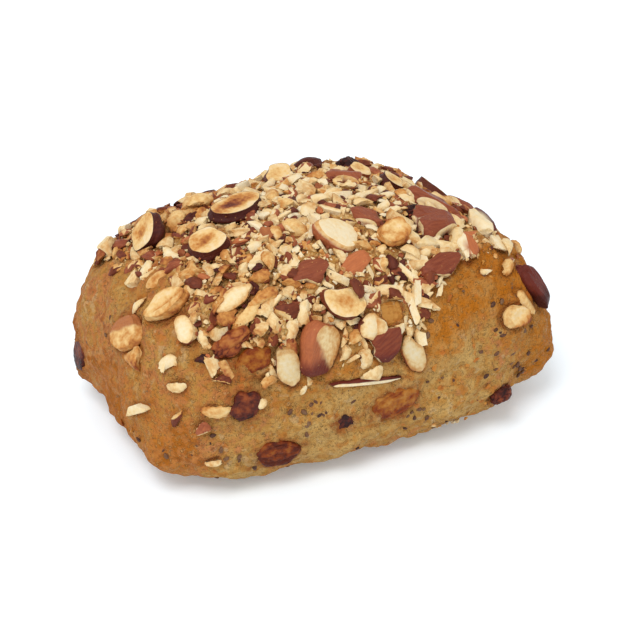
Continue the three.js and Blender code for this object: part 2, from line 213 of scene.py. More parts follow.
pieces = {
    "hazelnut_half": [
        topping((-0.6, -0.22, 1), (10, 9.4, 5.8), 1.6, turn=10, toast=0.92, tone=0.9, side=(150, 0.22)),
        topping((-0.32, 0.06, 1), (14.5, 11.5, 5.2), 1.6, turn=14, pitch=6, toast=1.5, tone=1,
                side=(200, 0.12)),
        topping((-0.79, 0.36, 1), (11.5, 10.5, 6), 1.5, turn=-10, lean=8, pitch=-34, toast=0.75, tone=0.95,
                side=(60, 0.2)),
        topping((0.08, 0.45, 1), (8.8, 8.2, 5), 1.7, lean=42, toast=0.55, tone=0.8),
        topping((0.57, 0.04, 1), (7.5, 7, 5), 1.4, turn=30, lean=24, toast=0.7, tone=0.95),
        topping((0.42, 0.18, 1), (6.6, 6.2, 4.6), 1.1, lean=18, toast=0.6, tone=0.4),
        topping((-1, -0.46, 0.86), (13, 7.5, 5), 1, turn=-28, toast=0.26, bare=1, groove=0.5, side=(-60, 0.3)),
        topping((-0.22, -1, 0.84), (11, 8, 5), 0.9, turn=-35, toast=0.75, tone=0.6),
        topping((0.66, -1, 0.44), (8, 6, 4.6), 0.8, toast=0.2, bare=1, side=(-50, 0.5)),
        topping((0.22, -0.63, 1), (9.2, 7.2, 4.6), 1.1, turn=20, toast=0.55, bare=1),
        topping((-1, -0.15, 0.52), (11.5, 9, 4.5), 0.2, turn=40, toast=0.5, bare=1, cover=(-85, 0.04),
                tone=0.08, stain=2.5),
        topping((-0.2, 1, 0.72), (12, 11, 5.5), 1, turn=30, toast=0.6, tone=0.9),
        topping((1, 0.4, 0.5), (11.5, 10, 5.5), 0.9, turn=40, toast=0.7, tone=0.8),
        topping((0.4, 1, 0.62), (11, 8.5, 5), 1, turn=70, toast=0.4, tone=0.9),
    ],
    "hazelnut_cap": [
        topping((-0.7, 0.68, 1), (9, 8, 4.8), 0.4, lean=180, toast=0.8, bare=1),
        topping((0.33, 0.62, 1), (10, 7, 4.8), 0.8, turn=10, lean=150, toast=0.4, tone=0.9),
        topping((-0.66, 1, 0.7), (10.5, 9.5, 5), 0.6, lean=180, toast=0.4, tone=0.7),
    ],
    "almond_cut": [
        topping((-0.35, -1, 0.57), (14.6, 11.6, 9), 0.5, turn=58, lean=34, toast=0.42, tone=0.26, face=0.3,
                cover=(152, 0.08), under=0.45),
        topping((-0.06, -0.53, 1), (13.2, 10.2, 8), 0.8, turn=-10, lean=6, pitch=10, toast=0.12, tone=0.3,
                rim=0.1),
        topping((0.72, 1, 0.72), (13.5, 10, 8), 0.2, turn=40, toast=0.2, tone=0.4),
    ],
    "almond_chunk": [
        topping((0.46, -0.61, 1), (12, 8.6, 7.5), 1, turn=-8, tone=0.52, toast=0.2, under=0.6),
        topping((0.56, -0.36, 1), (13, 7, 5.6), 0.5, turn=-55, tone=0.48, toast=0.2),
        topping((0.44, -1, 0.97), (10.4, 5.4, 4.8), 0.9, turn=8, tone=0.55, toast=0.3, under=0.4),
        topping((0.86, -0.66, 1), (11.5, 5.4, 5.6), 0.9, turn=80, tone=0.78, toast=0.2, cut=(90, 0.04)),
        topping((0.96, -1, 0.6), (13, 4.8, 5), 1.1, turn=-62, tone=0.72, whole=1, under=0.35),
        topping((0.3, 0.12, 1), (11, 6.6, 5), 0.8, turn=-68, tone=0.4, toast=0.4),
        topping((0.15, -0.43, 1), (9, 5, 4), 0.7, turn=-62, tone=0.45, toast=0.2),
        topping((-0.3, -0.79, 1), (8.8, 5.4, 4.2), 0.6, tone=0.5, toast=0.2),
        topping((-0.03, -1, 0.48), (8.5, 6.5, 5.5), 0.8, turn=20, tone=0.58, toast=0.2),
        topping((-0.05, -0.81, 1), (8, 5, 4), 0.5, turn=15, tone=0.15, toast=0.5),
        topping((0.63, -0.9, 1), (7, 5, 4.6), 0.7, turn=75, tone=0.2, toast=0.3, cut=(90, 0.1)),
        topping((1, 0, 0.66), (12.5, 8, 6.5), 0.4, turn=65, tone=0.5, toast=0.2),
        topping((0, 1, 0.45), (9.5, 6.5, 5), 0.6, turn=30, tone=0.5, toast=0.2),
    ],
    "almond_slice": [
        topping((-0.51, -1, 0.5), (11, 5.6, 2.6), 0.8, turn=100, toast=0.4, tone=0.4, face=0.13, dull=0.17),
        topping((0.1, -1, 0.38), (9.6, 5.8, 2.8), 0.8, turn=112, toast=0.5, tone=0.2, face=0.13, dull=0.17),
        topping((-0.76, -0.82, 1), (10, 5, 3.2), 0.9, turn=15, toast=0.5, tone=0.4, face=0.12),
        topping((-1, -0.75, 0.8), (7.8, 5.2, 3.2), 0.8, turn=80, toast=0.4, tone=0.4, face=0.08),
        topping((-0.13, -1, 0.28), (19, 1.8, 2), 0.5, turn=-11, toast=0.1, tone=0.7, cover=(90, 0.1)),
        topping((-0.1, -1, 0.62), (7, 5.6, 3.6), 0.9, turn=60, toast=0.5, tone=0.5, face=0.12),
        topping((1, -0.3, 0.6), (10, 5.6, 2.6), 0.7, turn=70, toast=0.1, tone=0.5),
        topping((-0.7, 1, 0.3), (10.5, 5.4, 2.6), 0.5, turn=60, toast=0.2, tone=0.5),
    ],
    "raisin": [
        topping((0.51, 0.44, 1), (7.6, 6, 5), 1.1, turn=20, tone=0.95),
        topping((0.395, -0.44, 1), (4.4, 3.6, 3.6), 0.6, turn=10, tone=1),
        topping((-0.85, -1, 0.77), (11.4, 6.4, 5.2), 0.2, turn=18, tone=0.25, stain=2),
        topping((-1, 0.56, 0.02), (10, 7, 5), -1, turn=80, tone=0.7),
        topping((0.58, -1, -0.22), (6.6, 5, 4.6), 0.1, turn=15, tone=0.7),
        topping((-0.72, -1, 0.3), (8.6, 7.4, 5.2), -0.4, turn=60, tone=0.6, stain=2.2),
        topping((-0.24, -1, 0.05), (6.8, 4.6, 4.2), -0.9, turn=-10, tone=0.9),
        topping((-0.5, 1, 0.1), (10, 7.5, 6), -0.4, turn=10, tone=0.6),
    ],
    "sultana": [
        topping((0, -1, 0.09), (13, 8.6, 6), -1.4, turn=5, tone=0.4, stain=2),
        topping((-0.55, -1, -0.17), (11.5, 8, 6), -1.3, tone=0.8, stain=2),
        topping((-0.69, -1, 0.58), (10.2, 6.2, 4.8), -1, turn=12, tone=0.52, bulge=0.1, stain=4),
        topping((0.04, -1, 0.68), (8.5, 6.5, 5), -1, tone=0),
        topping((1, 0.2, 0.15), (12, 8, 6), -1.2, turn=15, tone=0.4),
        topping((0.6, 1, 0.15), (11.5, 8, 6), -1.2, turn=-10, tone=0.3),
    ],
}

# Chips that show singly and are baked onto the crust: place, length, width, turn, and what each is made of
chips = [
    ((-0.45, -0.55, 1), (9, 4), 15, "cream"), ((-0.4, -0.72, 1), (5, 3.5), 40, "cream"),
    ((-0.5, -0.92, 1), (6, 2.6), 20, "cream"), ((-0.65, -1, 0.97), (7, 4), 20, "cream"),
    ((-0.72, -0.42, 1), (6, 3), 70, "cream"), ((-0.86, -0.36, 1), (5.5, 4.5), 0, "tan"),
    ((-0.76, 0.16, 1), (4.5, 3.5), 30, "cream"), ((-0.6, 0.16, 1), (6, 4.5), 50, "tan"),
    ((-0.48, 0.36, 1), (7, 5), 10, "tan"), ((-0.42, -0.22, 1), (5, 4), 0, "cream"),
    ((-0.2, -0.14, 1), (4.5, 3), 60, "brown"), ((-0.12, -0.04, 1), (5.5, 2.6), -20, "cream"),
    ((0.36, -0.79, 1), (8, 2.4), -50, "white"), ((0.31, -0.9, 1), (7, 2.4), -35, "white"),
    ((0.27, -0.17, 1), (9, 2), 10, "white"), ((0.5, -0.87, 1), (5, 3.6), 20, "cream"),
    ((0.66, -0.6, 1), (5.5, 3.5), 60, "brown"), ((0.93, -0.9, 1), (6.5, 3.6), 80, "white"),
    ((0.06, -0.24, 1), (7, 3.4), -40, "brown"), ((-0.03, -0.33, 1), (4, 3), 0, "cream"),
    ((0.42, 0, 1), (6.5, 4), -30, "cream"), ((-1, 0.6, 0.98), (5.5, 3.4), 30, "cream"),
    ((-1, 0.78, 0.75), (5.5, 4), 0, "cream"), ((-1, 0.1, 0.84), (4.6, 3.6), 0, "white"),
    ((-1, -0.12, 0.72), (5.5, 2.6), 80, "cream"), ((-1, -0.15, 0.97), (6.5, 4.2), 0, "tan"),
    ((-1, 0.08, 0.99), (5, 4), 30, "cream"), ((-1, -0.32, 0.42), (6.2, 5.6), 0, "tan"),
    ((-1, -0.92, 0.8), (5, 3), 80, "cream"), ((-1, -0.97, 0.66), (4.4, 3.8), 0, "black"),
    ((-1, -0.68, 0.53), (5.4, 3.8), 0, "cream"), ((-1, -0.45, 0.15), (9, 2.4), 38, "white"),
    ((-1, -0.82, 0.22), (5.4, 2.2), 70, "maroon"), ((0.08, -1, 0.86), (9, 2.8), -20, "white"),
    ((0.17, -1, 0.74), (9, 2.8), -35, "white"), ((0.25, -1, 0.84), (8.5, 4), -30, "brown"),
    ((-0.13, -1, 0.42), (5.6, 4), 70, "cream"), ((-0.86, -1, 0.5), (4.6, 3), 0, "maroon"),
    ((-0.6, -1, 0.42), (4.4, 3.4), 0, "tan"), ((-0.88, -1, 0.3), (7.5, 4.4), 10, "tan"),
    ((-0.97, -1, 0.18), (4.4, 3.6), 60, "brown"), ((-0.9, -1, -0.16), (4.2, 2), 0, "cream"),
    ((0.8, -1, 0.5), (9.5, 3.6), -55, "tan"),
]
chipSizes = {"height": 0.55, "stand": 0.14, "thinnest": 2}

# Chopped bits over the top, the largest first, spread by a seeded draw that skips some numbers after each one
bitDraw = {
    "count": 46, "tries": 4000, "sizes": (7.2, 3.4), "spread": (0.85, 1.1), "widths": (0.45, 0.75),
    "heights": (0.4, 0.6), "tilt": 15, "stand": 0.16, "spacing": 0.74, "onTop": 0.68, "topEdge": 0.97,
    "seed": 4711, "skipped": 12, "kinds": ["cream", "tan", "cream", "brown", "cream", "white", "maroon", "tan"],
}


def lowestTopping(x, y):
    if y == -1:
        return 0.42 if x < 0.12 else 0.8
    if y == 1:
        return 0.55
    if x == -1:
        return 0.4 if y < -0.2 else 0.84
    return 0.6


def drawnPlace(draw):
    edge = bitDraw["topEdge"]
    pick, first, second = draw(), lerp(-edge, edge, draw()), draw()
    if pick < bitDraw["onTop"]:
        return (first, lerp(-edge, edge, second), 1)
    x, y = [(first, -1), (first, 1), (-1, first), (1, first)][math.floor(draw() * 4)]
    return (x, y, lerp(lowestTopping(x, y), edge, second))


# The chips and the drawn bits, as rows of place, size, turn, lean, pitch, stand and what each is made of
def chosenBits():
    taken = [(crustPoint(row["at"]), math.hypot(*row["size"][:2])) for rows in pieces.values() for row in rows]
    draw = dice(bitDraw["seed"])
    tilt, kinds, found = bitDraw["tilt"], bitDraw["kinds"], []

    def take(at, size, angles, stand, kind):
        taken.append((crustPoint(at), size[0]))
        found.append((at, size, *angles, stand, kind))
        for _ in range(bitDraw["skipped"]):
            draw()

    for at, (length, width), turn, kind in chips:
        height = max(chipSizes["height"] * width, chipSizes["thinnest"])
        take(at, (length, width, height), (turn, 0, 0), chipSizes["stand"] * width, kind)
    drawn = 0
    for _ in range(bitDraw["tries"]):
        if drawn == bitDraw["count"]:
            break
        at = drawnPlace(draw)
        length = lerp(*bitDraw["sizes"], drawn / bitDraw["count"]) * lerp(*bitDraw["spread"], draw())
        size = (length, length * lerp(*bitDraw["widths"], draw()), length * lerp(*bitDraw["heights"], draw()))
        angles = (360 * draw(), lerp(-tilt, tilt, draw()), lerp(-tilt, tilt, draw()))
        point = crustPoint(at)
        if all(np.linalg.norm(point - other) >= bitDraw["spacing"] * (length + reach) / 2
               for other, reach in taken):
            take(at, size, angles, bitDraw["stand"] * length, kinds[drawn % len(kinds)])
            drawn += 1
    return found


bits = chosenBits()
print("bits", len(bits))

# All that lies on the crust, for the dents and rims of dough round it
largeRows = [(kind, index, row) for kind, rows in pieces.items() for index, row in enumerate(rows)]
largeTurns, largeMiddles = placesOf(*([row[key] for _, _, row in largeRows]
                                      for key in ("at", "turn", "lean", "pitch", "stand")))
largeSizes = np.array([row["size"] for _, _, row in largeRows], float)
fruits = ("raisin", "sultana")
sunken = [kind in fruits and row["stand"] < 0 for kind, _, row in largeRows]  # baked into the dough
bitTurns, bitMiddles = placesOf(*([row[column] for row in bits] for column in (0, 2, 3, 4, 5)))
bitSizes = np.array([row[1] for row in bits], float)

# How far the chopped nuts reach: a level from 0 at the waist to 1 at the cube's top edge and 2 at the middle
# of the top. The places run once round the roll from the front left corner: front 0-2, right 2-4, back 4-6
toppingEdge = {
    "places": [0, 0.4, 0.75, 1.15, 1.35, 1.5, 1.8, 2.1, 2.6, 3.5, 4.3, 5, 5.7, 6.2, 6.8, 7.2, 7.7, 8],
    "levels": [0.78, 0.5, 0.55, 0.5, 0.88, 1.02, 1.1, 1.05, 0.88, 0.75, 0.66, 0.6, 0.64, 0.85, 0.92, 1.1, 0.95,
               0.78],
    "softness": 0.17,
}


def roundPlace(directions):
    x, y, _ = directions.T
    largest = np.maximum(np.maximum(abs(x), abs(y)), 1e-6)
    x, y = x / largest, y / largest
    place = np.where(x <= -onFace, 7 - y, 0)
    place = np.where(y >= onFace, 5 - x, place)
    place = np.where(x >= onFace, 3 + y, place)
    return np.where(y <= -onFace, 1 + x, place)


# Share of the crust that chopped nuts cover, from 0 to 1, with the edge lowered by some levels
def nutShare(directions, lower=0.0):
    x, y, z = directions.T
    level = np.where(z >= 1, 2 - np.maximum(abs(x), abs(y)), z)
    edge = np.interp(roundPlace(directions), toppingEdge["places"], toppingEdge["levels"]) - lower
    return smooth(edge - toppingEdge["softness"], edge + toppingEdge["softness"], level)


def feed(tree, socket, value):
    if isinstance(value, bpy.types.NodeSocket):
        tree.links.new(value, socket)
    else:
        socket.default_value = value


def addNode(tree, kind, inputs=(), **settings):
    node = tree.nodes.new(kind)
    for name, value in settings.items():
        setattr(node, name, value)
    for name, value in dict(inputs).items():
        feed(tree, node.inputs[name], value)
    return node


def mathNode(tree, operation, *values, clamp=False):
    return addNode(tree, "ShaderNodeMath", enumerate(values), operation=operation, use_clamp=clamp).outputs[0]


def times(tree, first, second):
    return mathNode(tree, "MULTIPLY", first, second)


def plus(tree, first, second, clamp=False):
    return mathNode(tree, "ADD", first, second, clamp=clamp)


def rangeNode(tree, value, low, high, newLow=0.0, newHigh=1.0):
    ends = {"Value": value, "From Min": low, "From Max": high, "To Min": newLow, "To Max": newHigh}
    return addNode(tree, "ShaderNodeMapRange", ends, interpolation_type="SMOOTHSTEP").outputs["Result"]


def mixColours(tree, share, *colours):
    first, second = (value if isinstance(value, bpy.types.NodeSocket) else (*value, 1) for value in colours)
    return addNode(tree, "ShaderNodeMix", {0: share, 6: first, 7: second}, data_type="RGBA").outputs[2]


# A shared effect: it takes a vector and some numbers with the values they start from, and gives one number
def newGroup(name, output, **numbers):
    group = bpy.data.node_groups.new(name, "ShaderNodeTree")
    group.interface.new_socket("Vector", in_out="INPUT", socket_type="NodeSocketVector")
    for socket, value in numbers.items():
        made = group.interface.new_socket(socket, in_out="INPUT", socket_type="NodeSocketFloat")
        made.default_value = value
    group.interface.new_socket(output, in_out="OUTPUT", socket_type="NodeSocketFloat")
    given = addNode(group, "NodeGroupInput").outputs
    return group, given, addNode(group, "NodeGroupOutput").inputs[output]


# Blotches: smooth noise spread from 0 to 1 between two levels
def makeMottle():
    group, given, out = newGroup("mottle", "Mask", Scale=100.0, Detail=3.0, Low=0.35, High=0.65)
    inputs = {name: given[name] for name in ("Vector", "Scale", "Detail")}
    blotch = addNode(group, "ShaderNodeTexNoise", inputs).outputs[0]
    feed(group, out, rangeNode(group, blotch, given["Low"], given["High"]))
    return group


# Scattered dots: some of the cells hold one, and each has its own size
def makeSpeckle():
    group, given, out = newGroup("speckle", "Mask", Scale=300.0, Amount=0.3, Size=0.35)
    inputs = {name: given[name] for name in ("Vector", "Scale")}
    cells = addNode(group, "ShaderNodeTexVoronoi", inputs).outputs
    parts = addNode(group, "ShaderNodeSeparateColor", {0: cells["Color"]}).outputs
    chosen = mathNode(group, "LESS_THAN", parts[0], given["Amount"])
    size = times(group, mathNode(group, "MULTIPLY_ADD", parts[1], 0.6, 0.4), given["Size"])
    dot = rangeNode(group, cells["Distance"], size, times(group, size, 0.55))
    feed(group, out, times(group, dot, chosen))
    return group


# A rough surface: coarse and fine noise as a height
def makeGrain():
    group, given, out = newGroup("grain", "Height", Scale=300.0, Fine=0.5)
    coarse, fine = (
        addNode(group, "ShaderNodeTexNoise", {"Vector": given["Vector"], "Scale": scale, "Detail": detail})
        for scale, detail in ((given["Scale"], 4), (times(group, given["Scale"], 3.7), 3)))
    feed(group, out, plus(group, coarse.outputs[0], times(group, fine.outputs[0], given["Fine"])))
    return group


mottle, speckle, grain = makeMottle(), makeSpeckle(), makeGrain()


def placeGroup(tree, group, **inputs):
    return addNode(tree, "ShaderNodeGroup", inputs, node_tree=group).outputs[0]


def blotches(tree, vector, scale, detail, low, high):
    return placeGroup(tree, mottle, Vector=vector, Scale=scale, Detail=detail, Low=low, High=high)


def dots(tree, vector, scale, amount, size):
    return placeGroup(tree, speckle, Vector=vector, Scale=scale, Amount=amount, Size=size)


def newMaterial(name, roughness, **shader):
    material = bpy.data.materials.new(name)
    material.use_nodes = True
    sockets = material.node_tree.nodes["Principled BSDF"].inputs
    for socket, value in {"Roughness": roughness, **shader}.items():
        sockets[socket.replace("_", " ")].default_value = value
    return material, material.node_tree, sockets


def attribute(tree, name, output="Fac"):
    return addNode(tree, "ShaderNodeAttribute", attribute_type="GEOMETRY", attribute_name=name).outputs[output]


# A grainy surface; the extra height lies over the grain
def roughen(tree, sockets, vector, scale, fine, distance, extra=None):
    height = placeGroup(tree, grain, Vector=vector, Scale=scale, Fine=fine)
    if extra is not None:
        height = plus(tree, height, extra)
    bump = addNode(tree, "ShaderNodeBump", {"Height": height, "Distance": distance, "Strength": 1})
    feed(tree, sockets["Normal"], bump.outputs["Normal"])


def rampNode(tree, value, stops):
    node = addNode(tree, "ShaderNodeValToRGB", {0: value})
    elements = node.color_ramp.elements
    while len(elements) < len(stops):
        elements.new(0.5)
    for element, (position, colour) in zip(elements, stops.items()):
        element.position = position
        element.color = (*colour, 1)
    return node.outputs[0]


# A value that strays by some blotches, from the least shift up, looked up in a row of colours
def strayingRamp(tree, value, found, depth, least, stops):
    shift = mathNode(tree, "MULTIPLY_ADD", found, depth, least)
    return rampNode(tree, plus(tree, value, shift, clamp=True), stops)


# Crust colours. Dark is the darkest browning, and also painted shade deep in the gaps between the nuts and in
# small holes
crustColours = {
    "orange": (0.41, 0.128, 0.006), "stain": (0.28, 0.085, 0.018), "dark": (0.22, 0.065, 0.02),
    "crumbs": (0.69, 0.46, 0.19), "gaps": (0.47, 0.24, 0.06),
    "seedSpecks": (0.2, 0.12, 0.065), "fruitSpecks": (0.5, 0.13, 0.02), "paleSpecks": (0.75, 0.43, 0.15),
    "patches": (0.42, 0.14, 0.04), "amber": (0.44, 0.15, 0.018), "floury": (0.54, 0.37, 0.18),
}
# Browning of the crust from pale to dark; it also gives the painted shade on the lower left
crustBrowningAndShade = {0: (0.51, 0.302, 0.095), 0.4: (0.43, 0.21, 0.047), 0.72: (0.48, 0.19, 0.066),
                 1: crustColours["dark"]}
# Blotches of the crust: scale, detail, and the two levels between which they fade in. The deep ones are painted
# shade in the gaps between the chopped nuts, and the holes painted shade in small pits.
crustSpots = {
    "broad": (90, 5, 0.3, 0.7), "small": (420, 4, 0.35, 0.65), "patches": (170, 5, 0.5, 0.66),
    "broken": (750, 3, 0.35, 0.6), "amber": (290, 4, 0.56, 0.64), "floury": (350, 3, 0.41, 0.33),
    "crumbs": (800, 3, 0.44, 0.62), "deep": (430, 3, 0.5, 0.6), "pores": (1150, 2, 0.54, 0.74),
    "shadedHoles": (760, 3, 0.4, 0.3),
}


def makeCrustMaterial():
    material, tree, sockets = newMaterial("crustFinish", 0.72, Specular_IOR_Level=0.12)
    place = addNode(tree, "ShaderNodeTexCoord").outputs["Object"]
    bakeAndShade, gold, stain, topped = (attribute(tree, name) for name in ("bakeAndShade", "gold", "stain", "topped"))
    spots = {name: blotches(tree, place, *look) for name, look in crustSpots.items()}
    broad, small, pores = spots["broad"], spots["small"], spots["pores"]

    # The share of a colour: two values multiplied, the second one spread between two new levels
    def spread(first, second, *ends):
        return times(tree, first, rangeNode(tree, second, *ends))

    uneven = plus(tree, plus(tree, times(tree, broad, 0.46), times(tree, small, 0.44)), -0.46)
    colour = rampNode(tree, plus(tree, bakeAndShade, uneven, clamp=True), crustBrowningAndShade)
    between = mixColours(tree, spots["crumbs"], crustColours["gaps"], crustColours["crumbs"])
    # painted shade deep in the gaps
    between = mixColours(tree, times(tree, spots["deep"], 0.6), between, crustColours["dark"])
    glaze = times(tree, gold, spread(rangeNode(tree, small, 0.1, 0.9, 0.8, 1), broad, 0.1, 0.9, 0.75, 1))
    coats = [
        # patches where sugar has browned, then amber and floury ones as in a dough full of fruit and grain
        ("patches", spread(spread(spots["patches"], bakeAndShade, 0.25, 0.6, 0.14, 0.68),
                           spots["broken"], 0, 1, 0.3, 1)),
        ("amber", times(tree, spots["amber"], 0.6)),
        ("floury", times(tree, spots["floury"], 0.52)),
        # crumbs between the chopped nuts, and painted shade deep in the gaps
        ("between", times(tree, topped, 0.75)),
        ("orange", glaze),
        ("stain", spread(stain, small, 0, 1, 0.45, 0.95)),
        # pale flecks, partly painted highlights on small blisters, and painted shade in small holes, then seed
        # and fruit specks
        ("paleSpecks", spread(pores, bakeAndShade, 0.3, 0.7, 0.3, 0.38)),
        ("dark", spread(spots["shadedHoles"], bakeAndShade, 0.3, 0.6, 0.12, 0.4)),
        ("seedSpecks", times(tree, dots(tree, place, 520, 0.12, 0.36), 0.55)),
        ("fruitSpecks", times(tree, dots(tree, place, 300, 0.16, 0.36), 0.6)),
    ]
    for name, share in coats:
        colour = mixColours(tree, share, colour, between if name == "between" else crustColours[name])
    feed(tree, sockets["Base Color"], colour)
    feed(tree, sockets["Roughness"], rangeNode(tree, small, 0, 1, 0.62, 0.82))
    roughen(tree, sockets, place, 380, 0.45, 0.0018, times(tree, pores, 0.3))
    return material


# Nut flesh goes from raw to toasted, and the skin from light to dark. Their darker ends also give painted
# shade: below a piece, in the hollow of a cut face and in a crease.
nutLooks = {
    "hazelnut": {
        "flesh": {0: (0.78, 0.61, 0.37), 0.3: (0.74, 0.49, 0.2), 0.6: (0.54, 0.23, 0.055),
                  0.85: (0.27, 0.07, 0.02), 1: (0.13, 0.03, 0.015)},
        "skin": {0: (0.44, 0.16, 0.05), 0.45: (0.22, 0.05, 0.018), 1: (0.055, 0.008, 0.005)},
        "scuffs": (0.54, 0.23, 0.055),
    },
    "almond": {
        "flesh": {0: (0.79, 0.67, 0.45), 0.3: (0.77, 0.57, 0.29), 0.62: (0.57, 0.29, 0.09),
                  0.85: (0.33, 0.09, 0.025), 1: (0.18, 0.04, 0.015)},
        "skin": {0: (0.55, 0.17, 0.055), 0.4: (0.3, 0.08, 0.032), 0.7: (0.13, 0.02, 0.011),
                 1: (0.055, 0.008, 0.005)},
        "scuffs": (0.57, 0.29, 0.09),
    },
}


def makeNutMaterial(name):
    look = nutLooks[name]
    material, tree, sockets = newMaterial(f"{name}Finish", 0.6, Specular_IOR_Level=0.16)
    own = attribute(tree, "own", "Vector")
    skin, toast, tone, dull = (attribute(tree, value) for value in ("skin", "toast", "tone", "dull"))
    stretched = addNode(tree, "ShaderNodeMapping", {"Vector": own, "Scale": (0.22, 1.6, 1.6)}).outputs[0]
    streaks = blotches(tree, stretched, 1.3, 4, 0.25, 0.75)
    flesh = strayingRamp(tree, toast, blotches(tree, own, 0.9, 3, 0.2, 0.8), 0.3, -0.15, look["flesh"])
    skinColour = strayingRamp(tree, tone, streaks, 0.13, -0.05, look["skin"])
    skinColour = mixColours(tree, times(tree, dots(tree, own, 1.1, 0.16, 0.3), 0.4), skinColour, look["scuffs"])
    colour = mixColours(tree, skin, flesh, skinColour)
    feed(tree, sockets["Base Color"], mixColours(tree, dull, colour, (0, 0, 0)))
    feed(tree, sockets["Roughness"], rangeNode(tree, skin, 0, 1, 0.62, 0.46))
    roughen(tree, sockets, own, 1.4, 0.4, 0.00022, times(tree, streaks, times(tree, skin, 0.2)))
    return material


# Colours from light to dark, the roughness and the coat that shines. The darker colours also give painted shade
# below a piece and in its folds.
fruitLooks = {
    "raisin": ({0: (0.42, 0.15, 0.035), 0.35: (0.26, 0.06, 0.016), 0.7: (0.11, 0.02, 0.01),
                1: (0.03, 0.009, 0.008)}, 0.45, 0.03),
    "sultana": ({0: (0.46, 0.21, 0.045), 0.35: (0.34, 0.115, 0.015), 0.7: (0.2, 0.036, 0.005),
                 1: (0.08, 0.012, 0.004)}, 0.45, 0.03),
    "fruitBit": ({0: (0.5, 0.22, 0.04), 0.6: (0.4, 0.12, 0.018), 1: (0.2, 0.04, 0.01)}, 0.5, 0.05),
}
seedStops = {0: (0.2, 0.108, 0.052), 0.5: (0.135, 0.058, 0.028), 1: (0.055, 0.021, 0.013)}


def makeFruitMaterial(name):
    stops, roughness, coat = fruitLooks[name]
    material, tree, sockets = newMaterial(f"{name}Finish", roughness, Coat_Weight=coat, Coat_Roughness=0.3,
                                          Specular_IOR_Level=0.11)
    own = attribute(tree, "own", "Vector")
    # the tone, which holds painted shade below, and painted shade in the folds
    depth = plus(tree, attribute(tree, "tone"), times(tree, attribute(tree, "hollow"), 0.4))
    spots = blotches(tree, own, 0.5, 3, 0.25, 0.75)
    feed(tree, sockets["Base Color"], strayingRamp(tree, depth, spots, 0.54, -0.27, stops))
    roughen(tree, sockets, own, 1.2, 0.35, 0.0003)
    return material


def makeSeedMaterial():
    material, tree, sockets = newMaterial("seedFinish", 0.6, Specular_IOR_Level=0.2)
    own = attribute(tree, "own", "Vector")
    spots = blotches(tree, own, 1.5, 2, 0.3, 0.7)
    feed(tree, sockets["Base Color"], strayingRamp(tree, attribute(tree, "tone"), spots, 0.3, -0.15, seedStops))
    roughen(tree, sockets, own, 3, 0.3, 0.0001)
    return material


def makeFloorMaterial():
    material, tree, sockets = newMaterial("floorFinish", 0.9, Specular_IOR_Level=0.1,
                                          Emission_Color=(0.84, 0.95, 1, 1), Emission_Strength=0.16)
    faint = blotches(tree, addNode(tree, "ShaderNodeTexCoord").outputs["Object"], 4, 2, 0.2, 0.8)
    feed(tree, sockets["Base Color"], mixColours(tree, faint, (0.85, 0.92, 0.97), (0.88, 0.94, 0.99)))
    return material


materials = {
    "crust": makeCrustMaterial(), "hazelnut": makeNutMaterial("hazelnut"), "almond": makeNutMaterial("almond"),
    "raisin": makeFruitMaterial("raisin"), "sultana": makeFruitMaterial("sultana"),
    "orange": makeFruitMaterial("fruitBit"), "seed": makeSeedMaterial(),
}
print("materials", len(materials))


def meshArrays(thing):
    mesh = thing.data
    mesh.calc_loop_triangles()
    points = np.empty(len(mesh.vertices) * 3)
    mesh.vertices.foreach_get("co", points)
    faces = np.empty(len(mesh.loop_triangles) * 3, int)
    mesh.loop_triangles.foreach_get("vertices", faces)
    return points.reshape(-1, 3), faces.reshape(-1, 3)


def movePoints(thing, points):
    thing.data.vertices.foreach_set("co", np.asarray(points, np.float32).ravel())
    thing.data.update()


def giveValues(thing, name, values, domain="POINT"):
    kind, field = ("FLOAT_VECTOR", "vector") if np.ndim(values) == 2 else ("FLOAT", "value")
    layer = thing.data.attributes.new(name, kind, domain)
    layer.data.foreach_set(field, np.asarray(values, np.float32).ravel())


def readValues(thing, name):
    layer = thing.data.attributes[name]
    values = np.empty(len(layer.data))
    layer.data.foreach_get("value", values)
    return values


def makeActive(thing):
    bpy.ops.object.select_all(action="DESELECT")
    thing.select_set(True)
    bpy.context.view_layer.objects.active = thing


def selectAll():
    bpy.ops.mesh.select_all(action="SELECT")


# The shape that was just added, in edit mode
def editNew():
    thing = bpy.context.object
    makeActive(thing)
    bpy.ops.object.mode_set(mode="EDIT")
    bpy.ops.mesh.select_mode(type="VERT")
    selectAll()
    return thing


def leaveEdit():
    bpy.ops.object.mode_set(mode="OBJECT")


# Selects the faces, or edges, of the shape in edit mode that are chosen, and nothing else
def selectOnly(thing, chosen, parts="polygons"):
    bpy.ops.mesh.select_mode(type="FACE" if parts == "polygons" else "EDGE")
    bpy.ops.mesh.select_all(action="DESELECT")
    leaveEdit()
    for part in getattr(thing.data, parts):
        part.select = bool(chosen(part))
    bpy.ops.object.mode_set(mode="EDIT")


# Cuts the active shape by a plane at a distance from the middle and keeps what is behind it
def cutFlat(normal, distance):
    selectAll()
    normal = Vector(normal).normalized()
    bpy.ops.mesh.bisect(plane_co=normal * distance, plane_no=normal, use_fill=True, clear_outer=True)


def mergeClose(threshold):
    selectAll()
    bpy.ops.mesh.remove_doubles(threshold=threshold)


# Insets the chosen faces by rows of thickness and depth, pokes what is left and ends the edit. Gives the
# points and how far each is from the Z axis
def insetFaces(thing, chosen, rows):
    selectOnly(thing, chosen)
    for thickness, depth in rows:
        bpy.ops.mesh.inset(thickness=thickness, depth=depth, use_even_offset=False)
    bpy.ops.mesh.poke()
    leaveEdit()
    points, _ = meshArrays(thing)
    return points, np.hypot(points[:, 0], points[:, 1])


def removeThing(thing):
    mesh = thing.data
    bpy.data.objects.remove(thing)
    bpy.data.meshes.remove(mesh)


